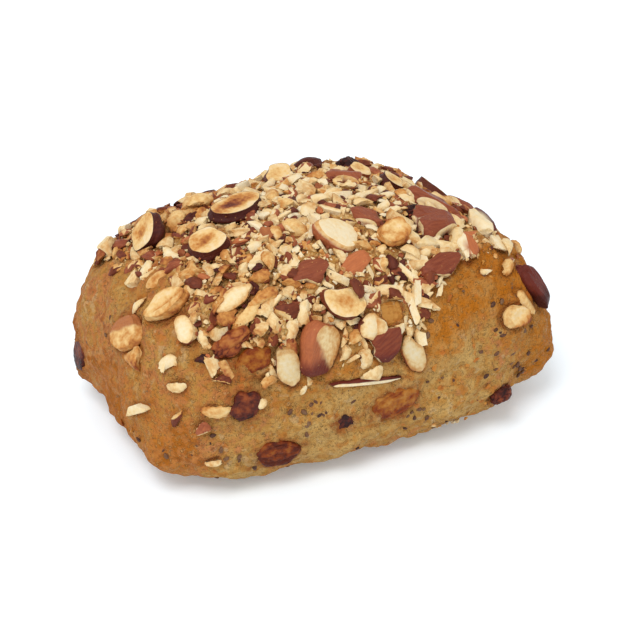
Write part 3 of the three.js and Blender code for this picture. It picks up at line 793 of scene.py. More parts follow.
# Ends the edit and gives the arrays of a shape that isn't needed any more
def takeArrays(thing):
    if bpy.context.mode == "EDIT_MESH":
        bpy.ops.mesh.quads_convert_to_tris()
        leaveEdit()
    points, faces = meshArrays(thing)
    removeThing(thing)
    return points, faces


def finishPiece(thing, name, material, slot, *nodes):
    thing.name = name
    thing.data.name = name
    thing.data.materials.clear()
    thing.data.materials.append(materials[material])
    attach(thing, "root")
    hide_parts(*nodes)
    return thing


crustShape = {
    "cells": (184, 140, 78), "flatBase": 0.72,
    "relief": [(9.0, 1.3), (4.0, 0.8), (1.7, 0.4)],  # size and height of each layer of unevenness
    "nutRelief": (1.6, 0.8), "nutSink": 0.15,  # between the chopped nuts
    "dent": 0.55, "dentWidth": 0.8, "rim": 0.4, "rimPlace": 1.7, "rimWidth": 1.2, "bitShare": 0.45, "near": 6,
    # dough that laps over sunken fruit, how deep it lies under it, and how ragged its edge is
    "lap": 0.7, "lapPlace": 1.0, "lapWidth": 1.1, "bed": 0.5, "bedEdge": (-0.8, -2.5), "ragged": (1.8, 2.4),
    "footing": (0.2, 3),  # the heights over which the relief sets in
    # how much each part adds to the browning and to the glaze; in the browning, the lower left part is painted
    # shade and the foot darkens it near the base
    "plainBake": 0.27,
    "bakeAndShade": {"drift": 0.12, "leftEnd": 0.33, "top": 0.16, "foot": 0.12, "lowerLeft": 0.34},
    "gold": {"rightEnd": 0.95, "lowerLeft": 0.8, "underNuts": 0.35, "rightUnderNuts": 1.1}, "goldAtBack": 0.6,
    # browner and paler places, and orange ones: where, how far and how much
    "browned": [((0.36, -1, 0.08), 6, 0.2), ((-0.75, -1, -0.35), 9, -0.2), ((-0.3, -1, -0.3), 7, -0.12),
                ((0.2, -1, 0.2), 10, -0.1)],
    "glazed": [((0.36, -1, 0.68), 4, 0.5), ((0.53, -1, 0.68), 4, 0.6), ((0.57, -1, 0.52), 3.5, 0.6),
               ((0.61, -1, 0.32), 3.5, 0.5), ((0.92, -1, -0.07), 5, 0.5)],
}


# The cube's cells spread so that they come out about even on the roll
def spreadCells(corners):
    spread = corners.copy()
    spread[:, :2] = corners[:, :2] * (0.76 + 0.24 * corners[:, :2] ** 2)
    spread[:, 2] = 2 * np.clip((corners[:, 2] + 1) / 2, 0, 1) ** 0.78 - 1
    onEdge = abs(corners) >= onFace
    spread[onEdge] = np.sign(corners[onEdge])
    return spread


# A cube cut into cells, with one face in the middle of its base
def crustGrid():
    bpy.ops.mesh.primitive_cube_add(size=2)
    thing = editNew()

    def runsAlong(axis):
        def chosen(edge):
            first, second = (thing.data.vertices[corner].co for corner in edge.vertices)
            return abs(first[axis] - second[axis]) > 0.99 * (first - second).length

        return chosen

    for axis, cells in enumerate(crustShape["cells"]):
        for cuts in (cells // 2 - 1, 1):
            selectOnly(thing, runsAlong(axis), "edges")
            bpy.ops.mesh.subdivide(number_cuts=cuts)
    selectOnly(thing, lambda face: face.center.z < -0.999
               and max(abs(face.center.x), abs(face.center.y)) < crustShape["flatBase"])
    bpy.ops.mesh.dissolve_faces()
    leaveEdit()
    return thing


# How far out the points are over a footprint that lies at a middle: 1 at its edge. Also gives them in its frame
def footprint(points, turn, middle, size):
    local = (points - middle) @ turn
    return np.hypot(local[:, 0] / (size[0] / 2), local[:, 1] / (size[1] / 2)), local


# Relief of the crust and how browned it is by the nuts and fruit: each makes a dent or is lapped by dough
def crustRelief(points, share):
    shape = crustShape
    rise, stain = np.zeros(len(points)), np.zeros(len(points))
    for index, (size, height) in enumerate(shape["relief"]):
        rise += height * noiseAt(points, size, 3.1 * index)
    size, height = shape["nutRelief"]
    rise += height * share * noiseAt(points, size, 9.0) - shape["nutSink"] * share
    ragSize, ragWidth = shape["ragged"]
    ragged = noiseAt(points, ragSize, 2.0)
    fused = [(1.0, sunk, row["look"]["stain"]) for sunk, (_, _, row) in zip(sunken, largeRows)]
    fused += [(shape["bitShare"], False, plainLook["stain"])] * len(bits)
    turns, middles = np.concatenate([largeTurns, bitTurns]), np.concatenate([largeMiddles, bitMiddles])
    sizes = np.concatenate([largeSizes, bitSizes])
    for (strength, sunk, reach), turn, middle, size in zip(fused, turns, middles, sizes):
        near = np.where(np.linalg.norm(points - middle, axis=1) < max(size[:2]) / 2 + shape["near"])[0]
        away = (footprint(points[near], turn, middle, size)[0] - 1) * math.sqrt(size[0] * size[1]) / 2
        if sunk:
            away = away + ragWidth * ragged[near]
            lap = bell(away - shape["lapPlace"], shape["lapWidth"])
            rise[near] += shape["lap"] * lap - shape["bed"] * smooth(*shape["bedEdge"], away)
        else:
            rim = bell(away - shape["rimPlace"], shape["rimWidth"]) * (away > 0)
            dent = bell(np.maximum(away, 0), shape["dentWidth"])
            rise[near] += strength * (shape["rim"] * rim - shape["dent"] * dent)
        stain[near] = np.maximum(stain[near], strength * bell(np.maximum(away, 0), reach))
    return rise * smooth(*shape["footing"], points[:, 2]), stain


# How browned the crust is, with painted shade on its lower left and darker near the base, and how much of an
# orange glaze it has
def crustShades(points, normals, directions, share):
    x, y, z = points.T
    drift = noiseAt(points, 22, 5.0)
    facesLeft = smooth(0.35, 0.8, -normals[:, 0]) * smooth(-36, -48, x)
    underNuts = nutShare(directions, 0.3 + 0.16 * smooth(5, 25, x)) * (1 - share)
    browningAndShade = {
        "drift": drift, "top": smooth(40, 56, z), "foot": smooth(12, 2, z),
        "leftEnd": smooth(-30, -52, x) * (0.6 + 0.4 * smooth(12, 28, z) - 0.75 * smooth(33, 45, z)),
        # painted shade where the lower left faces down and away from the light
        "lowerLeft": facesLeft * smooth(32, 10, z),
    }
    glaze = {
        "rightEnd": smooth(35, 47, x + 7 * drift) * (0.5 + 0.5 * smooth(4, 18, z)),
        "lowerLeft": facesLeft * smooth(43, 19, z),
        "underNuts": underNuts, "rightUnderNuts": underNuts * smooth(2, 24, x),
    }
    bakeAndShade = crustShape["plainBake"] + sum(crustShape["bakeAndShade"][name] * much for name, much in browningAndShade.items())
    gold = sum(crustShape["gold"][name] * much for name, much in glaze.items())
    gold *= lerp(crustShape["goldAtBack"], 1, smooth(25, -10, y))
    for values, spots in ((bakeAndShade, "browned"), (gold, "glazed")):
        for at, reach, more in crustShape[spots]:
            values += more * nearness(points, crustPoint(at), reach)
    return bakeAndShade, gold


def makeCrust():
    thing = crustGrid()
    directions = spreadCells(meshArrays(thing)[0])
    points, normals, share = crustPoints(directions), crustNormals(directions), nutShare(directions)
    rise, stain = crustRelief(points, share)
    points = points + normals * rise[:, None]
    points[:, 2] = np.maximum(points[:, 2], 0)
    bakeAndShade, gold = crustShades(points, normals, directions, share)
    for name, values in (("bakeAndShade", bakeAndShade), ("gold", gold), ("stain", stain), ("topped", share)):
        giveValues(thing, name, np.clip(values, 0, 1))
    movePoints(thing, points * mm)
    makeActive(thing)
    bpy.ops.object.shade_smooth()
    return finishPiece(thing, "crust", "crust", "crust", "roll")


crust = makeCrust()
print("crust", len(crust.data.polygons))


# The masters below are one unit each way. Each carries its skin, and in heart where its flesh toasts most; for
# half a hazelnut the heart is also painted shade in the hollow of its cut face.
# Half a hazelnut: a dome below, and above a cut face with a rim and a hollow
def hazelnutMaster():
    bpy.ops.mesh.primitive_uv_sphere_add(segments=40, ring_count=24, radius=0.5)
    thing = editNew()
    cutFlat((0, 0, 1), 0.22)
    bpy.ops.transform.translate(value=(0, 0, 0.14))
    bpy.ops.transform.resize(value=(1, 1, 1 / 0.72), center_override=(0, 0, 0))
    bpy.ops.mesh.remove_doubles(threshold=0.004)
    top = 0.5
    points, radius = insetFaces(thing, lambda face: face.center.z > top - 1e-3, (
        (0.012, 0.01), (0.03, 0), (0.05, 0), (0.06, 0), (0.07, 0), (0.07, 0), (0.07, 0)))
    face = points[:, 2] > top + 1e-4
    wide = np.hypot((points[:, 0] + 0.03) / 0.27, (points[:, 1] - 0.03) / 0.17)
    points[:, 2] += face * (0.03 - 0.13 * bell(wide) - 0.06 * smooth(0.36, 0.46, radius))
    movePoints(thing, points)
    giveValues(thing, "skin", 1.0 - face)
    # darkest in the hollow: toasting and painted shade
    heart = 0.5 * bell(wide, 1.8) + 0.26 * bell(wide, 0.9)
    giveValues(thing, "heart", face * heart * smooth(0.49, 0.4, radius))
    return thing


# Puts the points in order of distance from a spot, so that they merge the same way each time
def sortPoints(spot):
    cursor = bpy.context.scene.cursor
    cursor.location = spot
    selectAll()
    bpy.ops.mesh.sort_elements(type="CURSOR_DISTANCE", elements={"VERT"})
    cursor.location = (0, 0, 0)


# An almond with a flat cut face above
def almondMaster():
    bpy.ops.mesh.primitive_uv_sphere_add(segments=40, ring_count=26, radius=0.5)
    thing = editNew()
    bpy.ops.transform.rotate(value=math.pi / 2, orient_axis="Y", center_override=(0, 0, 0))
    top = 0.22
    cutFlat((0, 0, 1), top)
    sortPoints((0.61, 0.37, 0.83))
    mergeClose(0.01)
    points, radius = insetFaces(thing, lambda face: face.center.z > top - 1e-3, (
        (0.012, 0.006), (0.04, 0.004), (0.08, 0), (0.1, 0), (0.1, 0)))
    face = (points[:, 2] > top + 1e-4) | ((points[:, 2] > top - 0.02) & (radius < 0.436))
    giveValues(thing, "skin", 1.0 - face)
    giveValues(thing, "heart", face * smooth(0.25, 0.45, radius) * 0.45)
    return thing


# A chunk of almond: a block cut on all sides, with skin over the top
def chunkMaster(seed):
    dealt = np.random.default_rng(seed)
    bpy.ops.mesh.primitive_ico_sphere_add(subdivisions=5, radius=0.62)
    thing = editNew()
    start = dealt.uniform(0, 2 * math.pi)
    cuts = [((dealt.uniform(-0.3, 0.3), dealt.uniform(-0.3, 0.3), 1), 0.42), ((0, 0, -1), 0.3)]
    for side in range(4):
        angle = start + side * math.pi / 2 + dealt.uniform(-0.5, 0.5)
        cuts.append(((math.cos(angle), math.sin(angle), dealt.uniform(-0.2, 0.1)), dealt.uniform(0.38, 0.52)))
    for normal, distance in cuts:
        cutFlat(normal, distance)
    mergeClose(0.008)
    points, _ = insetFaces(thing, lambda face: len(face.vertices) > 8, ((0.012, 0.006), (0.05, 0), (0.06, 0)))
    flesh = np.zeros(len(points), bool)
    for normal, distance in cuts[1:]:  # the first one only flattens the skin
        flesh |= points @ (np.array(normal, float) / np.linalg.norm(normal)) > distance + 1e-4
    giveValues(thing, "skin", 1.0 - flesh)
    giveValues(thing, "heart", flesh * 0.8)
    return thing


# A flat oval slice, with skin round part of its edge
def sliceMaster():
    bpy.ops.mesh.primitive_cylinder_add(vertices=40, radius=0.5, depth=1, end_fill_type="NGON")
    thing = editNew()
    points, radius = insetFaces(thing, lambda face: abs(face.normal.z) > 0.9, (
        (0.02, 0.02), (0.04, 0.01), (0.1, 0), (0.12, 0), (0.1, 0)))
    points[:, 2] *= (0.5 / points[:, 2].max()) * (1 - 0.4 * smooth(0.2, 0.5, radius))
    movePoints(thing, points)
    angle = np.arctan2(points[:, 1], points[:, 0])
    giveValues(thing, "skin", (radius > 0.485) * smooth(0.0, 0.5, np.cos(angle - 2.2)))
    giveValues(thing, "heart", smooth(0.3, 0.5, radius) * 0.7)
    return thing


# A raisin or sultana, wrinkled later
def grapeMaster():
    bpy.ops.mesh.primitive_ico_sphere_add(subdivisions=5, radius=0.5)
    thing = bpy.context.object
    giveValues(thing, "skin", np.ones(len(thing.data.vertices)))
    giveValues(thing, "heart", np.zeros(len(thing.data.vertices)))
    return thing


wrinkles = {
    # folds and finer creases: how they are stretched, their size, their depth and their own noise
    "folds": [((1.1, 1.6, 1.6), 0.34, 0.1, 7), ((1.2, 1.7, 1.7), 0.19, 0.05, 3)], "narrow": 3.2,
    "grain": (0.12, 0.04, 4), "outline": (1.04, 0.32, 0.42, 9),
    # how far sunken fruit comes out, how round its shoulder is and how deep its folds are
    "flush": 0.34, "shoulder": 0.14, "flushFolds": 0.35,
}


# Folds, creases and grain of dried fruit. Gives the points and how hollow each one is; the hollow darkens the
# fruit's colour as painted shade in the folds.
def wrinkled(points, seed, sunk, bulge):
    depth = 0
    for stretch, size, deep, own in wrinkles["folds"]:
        folds = np.clip(1 - abs(noiseAt(points * stretch, size, seed + own)) * wrinkles["narrow"], 0, 1)
        depth = depth + deep * folds ** 2
    size, deep, own = wrinkles["grain"]
    depth = depth + deep * (noiseAt(points, size, seed + own) + 0.5)
    wide, strays, size, own = wrinkles["outline"]
    outline = wide + strays * noiseAt(points * [1, 1, 0.4], size, seed + own)
    if not sunk:
        return points * (outline - depth)[:, None], smooth(0.03, 0.15, depth)
    # nearly level with the crust
    points = points * outline[:, None]
    out = 1 - np.exp(-np.maximum(points[:, 2], 0) / wrinkles["shoulder"])
    flush = (wrinkles["flush"] + bulge) * out - wrinkles["flushFolds"] * depth
    points[:, 2] = np.where(points[:, 2] > 0, flush, points[:, 2])
    return points, 0.4 * smooth(0.05, 0.16, depth)


masters = {
    "hazelnut_half": [hazelnutMaster()], "hazelnut_cap": [hazelnutMaster()], "almond_cut": [almondMaster()],
    "almond_chunk": [chunkMaster(seed) for seed in (3, 7, 11, 13, 17)],
    "almond_slice": [sliceMaster()], "raisin": [grapeMaster()], "sultana": [grapeMaster()],
}
# The material and the slot of each kind
slots = {
    "hazelnut_half": ("hazelnut", "hazelnut"), "hazelnut_cap": ("hazelnut", "hazelnut_skin"),
    "almond_cut": ("almond", "almond"), "almond_chunk": ("almond", "almond_skin"),
    "almond_slice": ("almond", "almond"), "raisin": ("raisin", "raisin"), "sultana": ("sultana", "sultana"),
}
# How far a nut's surface strays, as shares of its size
nutShape = {"coarse": 0.36, "fine": 0.05, "upright": 0.35, "halfTop": 0.78, "sharpEdge": 50}
nutBrowning = {
    # groove is painted shade in a crease; the others brown the flesh
    "raw": 0.06, "patchSize": 2.6, "patches": 0.25, "rim": 0.5, "groove": 0.25, "ownSide": (137, 0.12),
    # without skin: all over, in patches, in the middle and at the edge
    "bare": 0.5, "barePatches": 0.7, "bareMiddle": 0.25, "bareEdge": 0.26,
}


# How far each point is along a direction in the plane, as a share of the piece
def alongAngle(unit, degrees):
    return unit[:, 0] * math.cos(math.radians(degrees)) + unit[:, 1] * math.sin(math.radians(degrees))


def makePiece(kind, index, row, turn, middle, seed):
    size, look = np.array(row["size"], float), row["look"]
    master = masters[kind][index % len(masters[kind])]
    thing = master.copy()
    thing.data = master.data.copy()
    bpy.context.scene.collection.objects.link(thing)
    points, _ = meshArrays(thing)
    skin, heart = readValues(thing, "skin"), readValues(thing, "heart")
    hollow = np.zeros(len(points))
    if kind in fruits:
        points, hollow = wrinkled(points, seed, sunken[seed - 1], look["bulge"])
    else:
        coarse, fine = noiseAt(points * [1, 1, 0.3], 0.5, 1.3 * seed), noiseAt(points, 0.15, 2.1 * seed)
        share = 1 + nutShape["coarse"] * coarse + nutShape["fine"] * fine
        points = points * np.stack([share, share, 1 + nutShape["upright"] * (share - 1)], 1)
        if kind == "hazelnut_half":
            points[:, 2] *= np.where(points[:, 2] > 0, nutShape["halfTop"], 1)
    unit = points.copy()
    points = points * size
    more, toast = nutBrowning, look["toast"]
    patch = noiseAt(points, more["patchSize"], 0.7 * seed)
    browningAndShade = more["raw"] + look["face"] + toast * heart + more["patches"] * patch * toast
    if "bare" in look:
        skin = skin * 0
        edge = smooth(0.34, 0.5, np.hypot(points[:, 0] / size[0], points[:, 1] / size[1]))
        browningAndShade = toast * (more["bare"] + more["barePatches"] * patch + more["bareMiddle"] * heart)
        browningAndShade = more["raw"] + browningAndShade + more["bareEdge"] * edge
    if "whole" in look:
        skin = skin * 0 + 1
    if "rim" in look:
        rim = (skin > 0) * smooth(0.19 - look["rim"], 0.25 - look["rim"], unit[:, 2])
        skin = skin * (1 - rim)
        browningAndShade += more["rim"] * rim
    if "cover" in look:
        angle, offset = look["cover"]
        beyond = alongAngle(unit, angle) + 0.05 * noiseAt(unit, 0.25, seed)
        skin = np.maximum(skin, smooth(offset - 0.05, offset + 0.05, beyond))
    if "cut" in look:
        angle, offset = look["cut"]
        skin = np.minimum(skin, smooth(offset + 0.02, offset - 0.02, alongAngle(unit, angle)))
    step, amount = more["ownSide"]
    angle, browner = look.get("side", (step * seed % 360, amount))
    browningAndShade += browner * smooth(-0.1, 0.45, alongAngle(unit, angle))
    if "groove" in look:
        groove = bell(points[:, 1] / size[1] - 0.06 * np.sin(6 * points[:, 0] / size[0]), 0.09)
        groove *= smooth(0.48, 0.3, abs(points[:, 0]) / size[0]) * (points[:, 2] > 0)
        points[:, 2] -= look["groove"] * groove
        # the crease darker: painted shade
        browningAndShade += more["groove"] * groove
    turned = points @ turn.T
    # darker below: painted shade, added to the tone
    below = smooth(0, 0.9, -2 * turned[:, 2] / size[2])
    thing.data.attributes.remove(thing.data.attributes["skin"])
    for name, values in (("own", points), ("toast", browningAndShade), ("tone", look["tone"] + look["under"] * below),
                         ("dull", np.full(len(points), look["dull"])), ("hollow", hollow), ("skin", skin)):
        giveValues(thing, name, values)
    movePoints(thing, (turned + middle) * mm)
    makeActive(thing)
    bpy.ops.object.shade_smooth_by_angle(angle=math.radians(nutShape["sharpEdge"]))
    return finishPiece(thing, f"{kind}_piece_{index + 1}", *slots[kind], f"{kind}_{index + 1}")


for seed, ((kind, index, row), turn, middle) in enumerate(zip(largeRows, largeTurns, largeMiddles), 1):
    makePiece(kind, index, row, turn, middle, seed)
for group in masters.values():
    for master in group:
        removeThing(master)
print("nuts and fruit", len(largeRows))


# The masters below are for what is scattered: points in a unit box, triangles, and which of them carry skin
def toUnitBox(points):
    low, high = points.min(0), points.max(0)
    return (points - (low + high) / 2) / (high - low)


# A lump cut by some planes
def bitMaster(detail, cuts, seed, keepSkin=True):
    dealt = np.random.default_rng(seed)
    bpy.ops.mesh.primitive_ico_sphere_add(subdivisions=detail, radius=0.5)
    thing = editNew()
    planes = []
    for index in range(cuts):
        normal = dealt.normal(size=3)
        normal[2] = -abs(normal[2]) * 1.5 if index == 0 else normal[2] - 0.35
        normal /= np.linalg.norm(normal)
        planes.append((normal, dealt.uniform(0.12, 0.34)))
        cutFlat(*planes[-1])
    mergeClose(0.02)
    bpy.ops.mesh.quads_convert_to_tris()
    bpy.ops.mesh.vertices_smooth(factor=0.5, repeat=2)
    points, faces = takeArrays(thing)
    centres = points[faces].mean(1)
    cut = np.any([centres @ normal > distance - 0.05 for normal, distance in planes], 0)
    points = toUnitBox(points) * (1 + dealt.uniform(-0.08, 0.08, (len(points), 1)))
    return points, faces, ~cut & keepSkin


# A sliver: a small bar with slanted ends
def sliverMaster(seed):
    dealt = np.random.default_rng(seed)
    bpy.ops.mesh.primitive_cube_add(size=1)
    thing = editNew()
    bpy.ops.mesh.bevel(offset=0.09, segments=1, affect="EDGES")
    for end in (1, -1):
        cutFlat((end, dealt.uniform(-0.6, 0.6), dealt.uniform(-0.4, 0.4)), 0.36)
    selectAll()
    points, faces = takeArrays(thing)
    points = toUnitBox(points)
    points[:, 2] += 0.25 * dealt.uniform(-1, 1) * points[:, 0] ** 2
    points *= 1 + dealt.uniform(-0.06, 0.06, (len(points), 1))
    return points, faces, np.zeros(len(faces), bool)


# A flake of skin: a thin curled sheet
def flakeMaster(seed):
    dealt = np.random.default_rng(seed)
    bpy.ops.mesh.primitive_grid_add(x_subdivisions=5, y_subdivisions=4, size=1)
    thing = editNew()
    bpy.ops.mesh.extrude_region_move(TRANSFORM_OT_translate={"value": (0, 0, 0.16)})
    selectAll()
    bpy.ops.mesh.normals_make_consistent(inside=False)
    points, faces = takeArrays(thing)
    points[:, 2] -= 0.08
    corner = 1 - 0.35 * (2 * abs(points[:, 0])) ** 3 * (2 * abs(points[:, 1])) ** 3
    points[:, :2] *= corner[:, None] * (1 + dealt.uniform(-0.1, 0.1, (len(points), 1)))
    points[:, 2] += dealt.uniform(0.5, 1.2) * (0.12 - points[:, 1] ** 2) + 0.3 * points[:, 0] ** 2
    return points, faces, np.ones(len(faces), bool)


# A seed: a flat pointed oval
def seedMaster():
    bpy.ops.mesh.primitive_ico_sphere_add(subdivisions=2, radius=0.5)
    points, faces = takeArrays(bpy.context.object)
    points[:, 1] *= 1 - 0.5 * points[:, 0]
    return points, faces, np.ones(len(faces), bool)


shapes = {
    "lump": [bitMaster(2, 4, seed, keepSkin=False) for seed in range(11, 19)],
    "skinned": [bitMaster(2, 3, seed) for seed in range(31, 37)],
    "sliver": [sliverMaster(seed) for seed in range(51, 55)],
    "flake": [flakeMaster(seed) for seed in range(71, 74)],
    "seed": [seedMaster()],
    "crumb": [bitMaster(1, 2, seed) for seed in range(111, 117)],
    "large": [bitMaster(3, 4, seed) for seed in range(91, 99)],
}

# What a bit can be made of: which material, which shape, its toast and its tone
bitKinds = {
    "white": ("almond", "sliver", 0.06, 0.3), "cream": ("almond", "lump", 0.17, 0.3),
    "tan": ("hazelnut", "lump", 0.36, 0.3), "brown": ("almond", "skinned", 0.25, 0.35),
    "maroon": ("hazelnut", "skinned", 0.3, 0.7), "black": ("raisin", "lump", 0.5, 1.0),
}
bitToasting = {"tips": 0.22, "side": 0.36}  # how much browner a bit's tips are, and one side of it


# One mesh of many bits. Each bit is a shape, a size, a turn, a middle, its toast and its tone
def joinBits(name, rows, material, slot, sharpness=48):
    allPoints, allFaces, skin = [], [], []
    values = {"own": [], "toast": [], "tone": []}
    mixed = np.random.default_rng(len(rows))
    start = 0
    for (points, faces, skinned), size, turn, middle, toast, tone in rows:
        local = points * size
        allPoints.append(local @ turn.T + middle)
        allFaces.append(faces + start)
        skin.append(skinned)
        towards = mixed.normal(size=3)
        towards *= bitToasting["side"] / np.linalg.norm(towards)
        tips = smooth(0.34, 0.6, np.linalg.norm(points, axis=1))
        values["own"].append(local + middle * 3.7)
        values["toast"].append(toast + points @ towards + bitToasting["tips"] * tips)
        values["tone"].append(tone + 0.12 * mixed.uniform(-1, 1, len(points)))
        start += len(points)
    mesh = bpy.data.meshes.new(name)
    mesh.from_pydata((np.concatenate(allPoints) * mm).tolist(), [], np.concatenate(allFaces).tolist())
    thing = bpy.data.objects.new(name, mesh)
    bpy.context.scene.collection.objects.link(thing)
    for value, found in values.items():
        giveValues(thing, value, np.concatenate(found))
    giveValues(thing, "hollow", np.zeros(start))
    giveValues(thing, "skin", np.concatenate(skin).astype(float), "FACE")
    makeActive(thing)
    bpy.ops.object.shade_smooth_by_angle(angle=math.radians(sharpness))
    return finishPiece(thing, name, material, slot, "roll")


# The finer masters, for the chips and the larger bits
def largeShape(index, shape):
    group = shapes["sliver" if shape == "sliver" else "large"]
    points, faces, skinned = group[index % len(group)]
    return points, faces, skinned & (shape != "lump")


# The chips and bits that the solids have too, at their places
def placeBits():
    found = {}
    for index, ((_, size, *_, kind), turn, middle) in enumerate(zip(bits, bitTurns, bitMiddles)):
        material, shape, toast, tone = bitKinds[kind]
        row = (largeShape(index, shape), np.array(size), turn, middle, toast, tone)
        found.setdefault(material, []).append(row)
    for material, rows in found.items():
        joinBits(f"{material}_bits", rows, material, material)


placeBits()
print("bits placed", len(bits))


# Candidate cells over the roll, with their area and half their width, to draw places from
def coverCells(count=90):
    steps = (np.arange(count) + 0.5) / count * 2 - 1
    first, second = np.meshgrid(steps, steps)
    found = []
    for axis, side in ((0, -1), (0, 1), (1, -1), (1, 1), (2, 1)):
        cell = np.empty((count * count, 3))
        cell[:, axis] = side
        cell[:, (axis + 1) % 3] = first.ravel()
        cell[:, (axis + 2) % 3] = second.ravel()
        found.append(cell)
    cells = np.concatenate(found)
    return cells, np.linalg.norm(np.cross(*crustSides(cells, 1 / count)), axis=1), 1 / count


cells, cellArea, cellStep = coverCells()
cellShare = nutShare(cells)
cellPoints = crustPoints(cells)
cellNuts = cellShare * (1 - 0.5 * smooth(5, 32, cellPoints[:, 0]))  # fewer towards the right
farOut = 9.0


def drawPlaces(dealt, count, weight):
    chance = cellArea * weight
    picked = dealt.choice(len(cells), count, p=chance / chance.sum())
    places = cells[picked].copy()
    places += (abs(places) < onFace) * dealt.uniform(-cellStep, cellStep, places.shape)
    return np.clip(places, -1, 1)


# How far out each point is over the footprints of the large pieces: under 1 it is inside one
def insideLarge(points):
    nearest = np.full(len(points), farOut)
    for turn, middle, size, sunk in zip(largeTurns, largeMiddles, largeSizes, sunken):
        share, local = footprint(points, turn, middle, size)
        share = np.where(abs(local[:, 2]) < size[2], share / (1.3 if sunk else 1), farOut)
        nearest = np.minimum(nearest, share)
    return nearest


# A number as it is, or drawn between two limits
def drawn(dealt, value, *count):
    return dealt.uniform(*value, *count) if isinstance(value, tuple) else value


# Turns and middles of scattered pieces: turned anyhow, and leaning and pitched up to two angles
def layDown(dealt, places, lean, pitch, stand):
    count = len(places)
    angles = [dealt.uniform(*ends, count) for ends in ((0, 360), (-lean, lean), (-pitch, pitch))]
    return placesOf(places, *angles, drawn(dealt, stand, count))


# Larger loose chips over the others: place, length and width, turn, what each is made of, and any extra lift
looseChips = [
    ((-0.11, -1, 0.32), (6, 4.8), 20, "cream"), ((-0.43, -1, 0.33), (3.4, 2.2), 70, "cream"),
    ((-0.63, -1, 0.29), (3.2, 2.4), 60, "cream"), ((-0.95, -1, 0.63), (5.5, 3.5), 100, "cream"),
    ((-0.5, -1, 0.72), (7.5, 3.4), 50, "cream"), ((-0.66, -0.93, 1), (10, 4), 20, "tan"),
    ((-0.43, -1, 0.85), (6.5, 4), 60, "cream"), ((-0.78, -1, 0.95), (9, 3.6), 30, "tan"),
    ((-0.53, -1, 0.89), (7, 4.4), -10, "maroon"), ((-0.15, -1, 0.91), (5.5, 3.5), 90, "maroon", 3.4),
    ((-0.08, -1, 0.82), (4.5, 3.4), 0, "cream"), ((0.5, -0.85, 1), (8, 3), -30, "cream"),
    ((0.57, -0.79, 1), (8, 4), 40, "cream"), ((1, -0.97, 0.97), (7, 5), 60, "cream"),
    ((0.92, -1, 0.86), (4.5, 2.2), 10, "brown"), ((-0.43, 0.33, 1), (8.5, 7), 0, "tan"),
    ((-0.59, 0.33, 1), (7.5, 4.5), 40, "tan"),
]
loosePose = {"lean": 6, "pitch": -4, "stand": 0.3, "height": 0.6}


# The nuts are palest over the middle and browner towards the left end and the back
def toasting(point):
    return lerp(-0.05, 0.19, float(smooth(20, 40, math.hypot(point[0] - 4, 0.7 * (point[1] + 12)))))


choppedLook = {
    "count": 2600, "sizes": (5.8, 1.6), "seed": 2024, "spacing": 0.29, "clear": 0.92, "tilt": 28,
    "stand": (0.05, 0.42), "stretch": {"sliver": 1.35},
    # share of each kind, and how its width and height relate to its length
    "kinds": {
        "white": (0.24, (0.22, 0.4), (0.2, 0.35)), "cream": (0.44, (0.55, 0.85), (0.4, 0.65)),
        "tan": (0.17, (0.55, 0.85), (0.4, 0.65)), "brown": (0.09, (0.5, 0.8), (0.4, 0.6)),
        "maroon": (0.06, (0.45, 0.75), (0.35, 0.55)),
    },
    # where the nuts are browner, some of each kind give way to a darker one
    "browner": {"white": "maroon", "cream": "tan", "tan": "brown"}, "brownerShare": 0.35,
}


def scatterChopped():
    look, kinds = choppedLook, choppedLook["kinds"]
    dealt = np.random.default_rng(look["seed"])
    places = drawPlaces(dealt, look["count"] * 2, cellNuts)
    points = crustPoints(places)
    lengths = lerp(*look["sizes"], np.linspace(0, 1, len(places)) ** 0.6) * dealt.uniform(0.8, 1.2, len(places))
    chipTurns, chipMiddles = placesOf(
        [row[0] for row in looseChips], [row[2] for row in looseChips],
        np.full(len(looseChips), loosePose["lean"]), np.full(len(looseChips), loosePose["pitch"]),
        [loosePose["stand"] * row[1][1] + sum(row[4:]) for row in looseChips])
    kept, keptPoints, keptLengths = [], chipMiddles.copy(), np.array([row[1][0] for row in looseChips])
    for index in np.where(insideLarge(points) > look["clear"])[0]:
        away = np.linalg.norm(keptPoints - points[index], axis=1)
        if (away < look["spacing"] * (lengths[index] + keptLengths)).any():
            continue
        kept.append(index)
        keptPoints = np.vstack([keptPoints, points[index]])
        keptLengths = np.append(keptLengths, lengths[index])
        if len(kept) == look["count"]:
            break
    names = list(kinds)
    chances = np.array([kinds[name][0] for name in names])
    picked = dealt.choice(len(names), len(kept), p=chances / chances.sum())
    rows = {}
    for index, (_, (length, width), _, kind, *_) in enumerate(looseChips):
        _, shape, toast, tone = bitKinds[kind]
        size = np.array([length, width, loosePose["height"] * width])
        row = (largeShape(index, shape), size, chipTurns[index], chipMiddles[index], toast, tone)
        rows.setdefault(kind, []).append(row)
    stands = dealt.uniform(*look["stand"], len(kept)) * lengths[kept] * 0.6
    turns, middles = layDown(dealt, places[kept], look["tilt"], look["tilt"], stands)
    swapped = dealt.uniform(0, 1, len(kept))
    for row, index in enumerate(kept):
        browner = toasting(middles[row])
        name = names[picked[row]]
        if swapped[row] < look["brownerShare"] * smooth(0, 0.2, browner):
            name = look["browner"].get(name, name)
        _, widths, heights = kinds[name]
        _, shape, toast, tone = bitKinds[name]
        length = lengths[index] * look["stretch"].get(shape, 1)
        size = np.array([length, length * dealt.uniform(*widths), length * dealt.uniform(*heights)])
        made = shapes[shape][dealt.integers(len(shapes[shape]))]
        toast = toast + browner + dealt.uniform(-0.15, 0.2)
        tone = tone + dealt.uniform(-0.25, 0.25)
        rows.setdefault(name, []).append((made, size, turns[row], middles[row], toast, tone))
    for name, found in rows.items():
        joinBits(f"chopped_{name}", found, bitKinds[name][0], bitKinds[name][0])
    return len(kept)


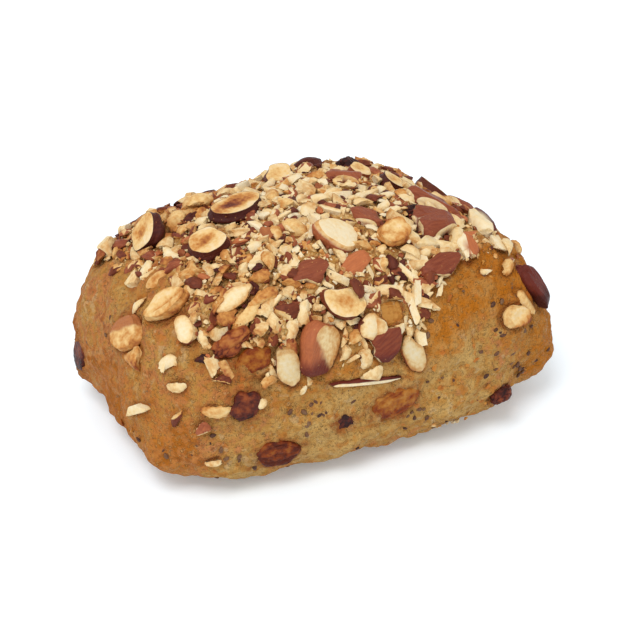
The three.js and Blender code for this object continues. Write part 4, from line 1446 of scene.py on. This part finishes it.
print("chopped", scatterChopped())

# Fine crumbs that fill the gaps and heap up against the larger nuts, and a few at the foot of the roll
crumbLook = {
    "count": 3200, "sizes": (0.7, 1.9), "seed": 515, "clear": 0.97, "tilt": 40, "heap": 1.5, "toast": -0.06,
    "fallen": ((0.38, -1, -0.42), 6, 14), "kinds": {"cream": 0.56, "tan": 0.22, "brown": 0.14, "maroon": 0.08},
}


def scatterCrumbs():
    look = crumbLook
    dealt = np.random.default_rng(look["seed"])
    places = drawPlaces(dealt, look["count"] * 2, cellNuts)
    inside = insideLarge(crustPoints(places))
    kept = np.where(inside > look["clear"])[0][: look["count"]]
    at, reach, fallen = look["fallen"]
    near = nearness(cellPoints, crustPoint(at), reach)
    places = np.concatenate([places[kept], drawPlaces(dealt, fallen, near)])
    inside = np.concatenate([inside[kept], np.full(fallen, farOut)])
    count = len(places)
    lengths = lerp(*look["sizes"], dealt.uniform(0, 1, count) ** 1.4)
    stands = 0.1 + 0.3 * lengths * dealt.uniform(0, 1, count)
    stands += look["heap"] * smooth(1.5, 1.0, inside) * dealt.uniform(0.3, 1, count)
    turns, middles = layDown(dealt, places, look["tilt"], look["tilt"], stands)
    names = list(look["kinds"])
    picked = dealt.choice(len(names), count, p=list(look["kinds"].values()))
    rows = {}
    for index, length in enumerate(lengths):
        name = names[picked[index]]
        material, _, toast, tone = bitKinds[name]
        size = np.array([length, length * dealt.uniform(0.5, 0.85), length * dealt.uniform(0.35, 0.6)])
        points, faces, skinned = shapes["crumb"][dealt.integers(len(shapes["crumb"]))]
        shape = (points, faces, skinned & (name in ("brown", "maroon")))
        toast = toast + (look["toast"] + toasting(middles[index]) + dealt.uniform(-0.25, 0.25))
        tone = tone + dealt.uniform(-0.3, 0.3)
        rows.setdefault(material, []).append((shape, size, turns[index], middles[index], toast, tone))
    for material, found in rows.items():
        joinBits(f"{material}_crumbs", found, material, material)
    return count


print("crumbs", scatterCrumbs())

flakeLook = {"count": 160, "sizes": (2.2, 4.6), "seed": 88, "clear": 1.0, "tilts": (40, 20),
             "stand": (0.4, 1.0), "height": 0.9}


def scatterFlakes():
    look = flakeLook
    dealt = np.random.default_rng(look["seed"])
    places = drawPlaces(dealt, look["count"] * 2, cellNuts)
    places = places[insideLarge(crustPoints(places)) > look["clear"]][: look["count"]]
    lengths = dealt.uniform(*look["sizes"], len(places))
    rows = []
    for length, turn, middle in zip(lengths, *layDown(dealt, places, *look["tilts"], look["stand"])):
        size = np.array([length, length * dealt.uniform(0.5, 0.8), look["height"]])
        shape = shapes["flake"][dealt.integers(len(shapes["flake"]))]
        rows.append((shape, size, turn, middle, 0.4, dealt.uniform(0.2, 1.0)))
    joinBits("skin_flakes", rows, "hazelnut", "hazelnut_skin")
    return len(rows)


print("flakes", scatterFlakes())

# What is sunk in the dough. Width and height are shares of the length; offNuts keeps it off the nuts, lowest
# is in mm, and rightwards has the share everywhere and what is added towards the right
doughLooks = {
    "seeds": {
        "count": 80, "seed": 303, "length": (0.9, 2.1), "width": 0.62, "height": 0.42, "stand": (-0.13, 0.12),
        "tone": (0.2, 1.0), "clear": 1.05, "offNuts": 0.75, "lowest": 2, "rightwards": (1, 0),
        "shape": "seed", "material": "seed", "slot": "crust",
        "clusters": [((-0.38, -1, 0.16), 4.5, 18), ((-0.24, -1, 0.2), 3, 9), ((0.27, -1, 0), 7, 14),
                     ((0.57, -1, 0.37), 10, 16), ((0.64, -1, 0.1), 12, 18), ((-0.93, -1, 0), 7, 8),
                     ((0.9, -1, 0.1), 8, 8)],
    },
    "orange_fruit_bits": {
        "count": 70, "seed": 17, "length": (1.2, 2.8), "width": (0.5, 0.8), "height": 0.45,
        "stand": (-0.35, 0.05), "tone": (0.0, 0.8), "clear": 1.1, "offNuts": 0.5, "lowest": 4,
        "rightwards": (0.4, 1), "shape": "lump", "material": "orange", "slot": "sultana", "clusters": [],
    },
}


def scatterInDough(name, look):
    dealt = np.random.default_rng(look["seed"])
    everywhere, more = look["rightwards"]
    bare = (1 - look["offNuts"] * cellShare) * (cellPoints[:, 2] > look["lowest"])
    bare = bare * (everywhere + more * smooth(-20, 40, cellPoints[:, 0]))
    places = [drawPlaces(dealt, look["count"], bare)]
    for at, reach, count in look["clusters"]:
        places.append(drawPlaces(dealt, count, nearness(cellPoints, crustPoint(at), reach) * bare))
    places = np.concatenate(places)
    places = places[insideLarge(crustPoints(places)) > look["clear"]]
    group = shapes[look["shape"]]
    rows = []
    for turn, middle in zip(*layDown(dealt, places, 15, 15, look["stand"])):
        length = dealt.uniform(*look["length"])
        size = np.array([length, length * drawn(dealt, look["width"]), length * look["height"]])
        rows.append((group[dealt.integers(len(group))], size, turn, middle, 0.3, dealt.uniform(*look["tone"])))
    joinBits(name, rows, look["material"], look["slot"], 60)
    return len(rows)


for name, look in doughLooks.items():
    print(name, scatterInDough(name, look))

studio = {
    "worldStrength": 0.84, "keyEnergy": 7.5, "keySize": 0.5, "keyPlace": (-0.5, -0.4, 1.1),
    "azimuth": -31.437, "elevation": 33, "distance": 490, "focalPixels": 1774, "framePixels": 630,
    "aim": (0, 0, 20), "aimRight": 3.67, "aimUp": 2.05, "sensor": 36, "keyAim": (0, 0, 0.03),
}
bpy.ops.mesh.primitive_plane_add(size=8)
floor = bpy.context.object
floor.name = "floor"
floor.data.materials.append(makeFloorMaterial())

world = bpy.data.worlds.new("studio")
bpy.context.scene.world = world
world.use_nodes = True
world.node_tree.nodes["Background"].inputs[0].default_value = (1, 1, 1, 1)
world.node_tree.nodes["Background"].inputs[1].default_value = studio["worldStrength"]

bpy.ops.object.light_add(type="AREA", location=studio["keyPlace"])
key = bpy.context.object
key.name = "key"
key.data.energy = studio["keyEnergy"]
key.data.size = studio["keySize"]
key.rotation_euler = (Vector(studio["keyAim"]) - key.location).to_track_quat("-Z", "Y").to_euler()


def makeCamera():
    azimuth, elevation = math.radians(studio["azimuth"]), math.radians(studio["elevation"])
    right = Vector((math.cos(azimuth), math.sin(azimuth), 0))
    back = Vector((math.sin(azimuth) * math.cos(elevation), -math.cos(azimuth) * math.cos(elevation),
                   math.sin(elevation)))
    up = back.cross(right)
    aim = Vector(studio["aim"]) + right * studio["aimRight"] + up * studio["aimUp"]
    bpy.ops.object.camera_add(location=(aim + back * studio["distance"]) * mm)
    camera = bpy.context.object
    camera.rotation_euler = (-back).to_track_quat("-Z", "Y").to_euler()
    camera.data.sensor_width = studio["sensor"]
    camera.data.lens = studio["focalPixels"] / studio["framePixels"] * studio["sensor"]
    camera.data.clip_start = 0.01
    bpy.context.scene.camera = camera


makeCamera()
bpy.context.scene.view_settings.view_transform = "Standard"
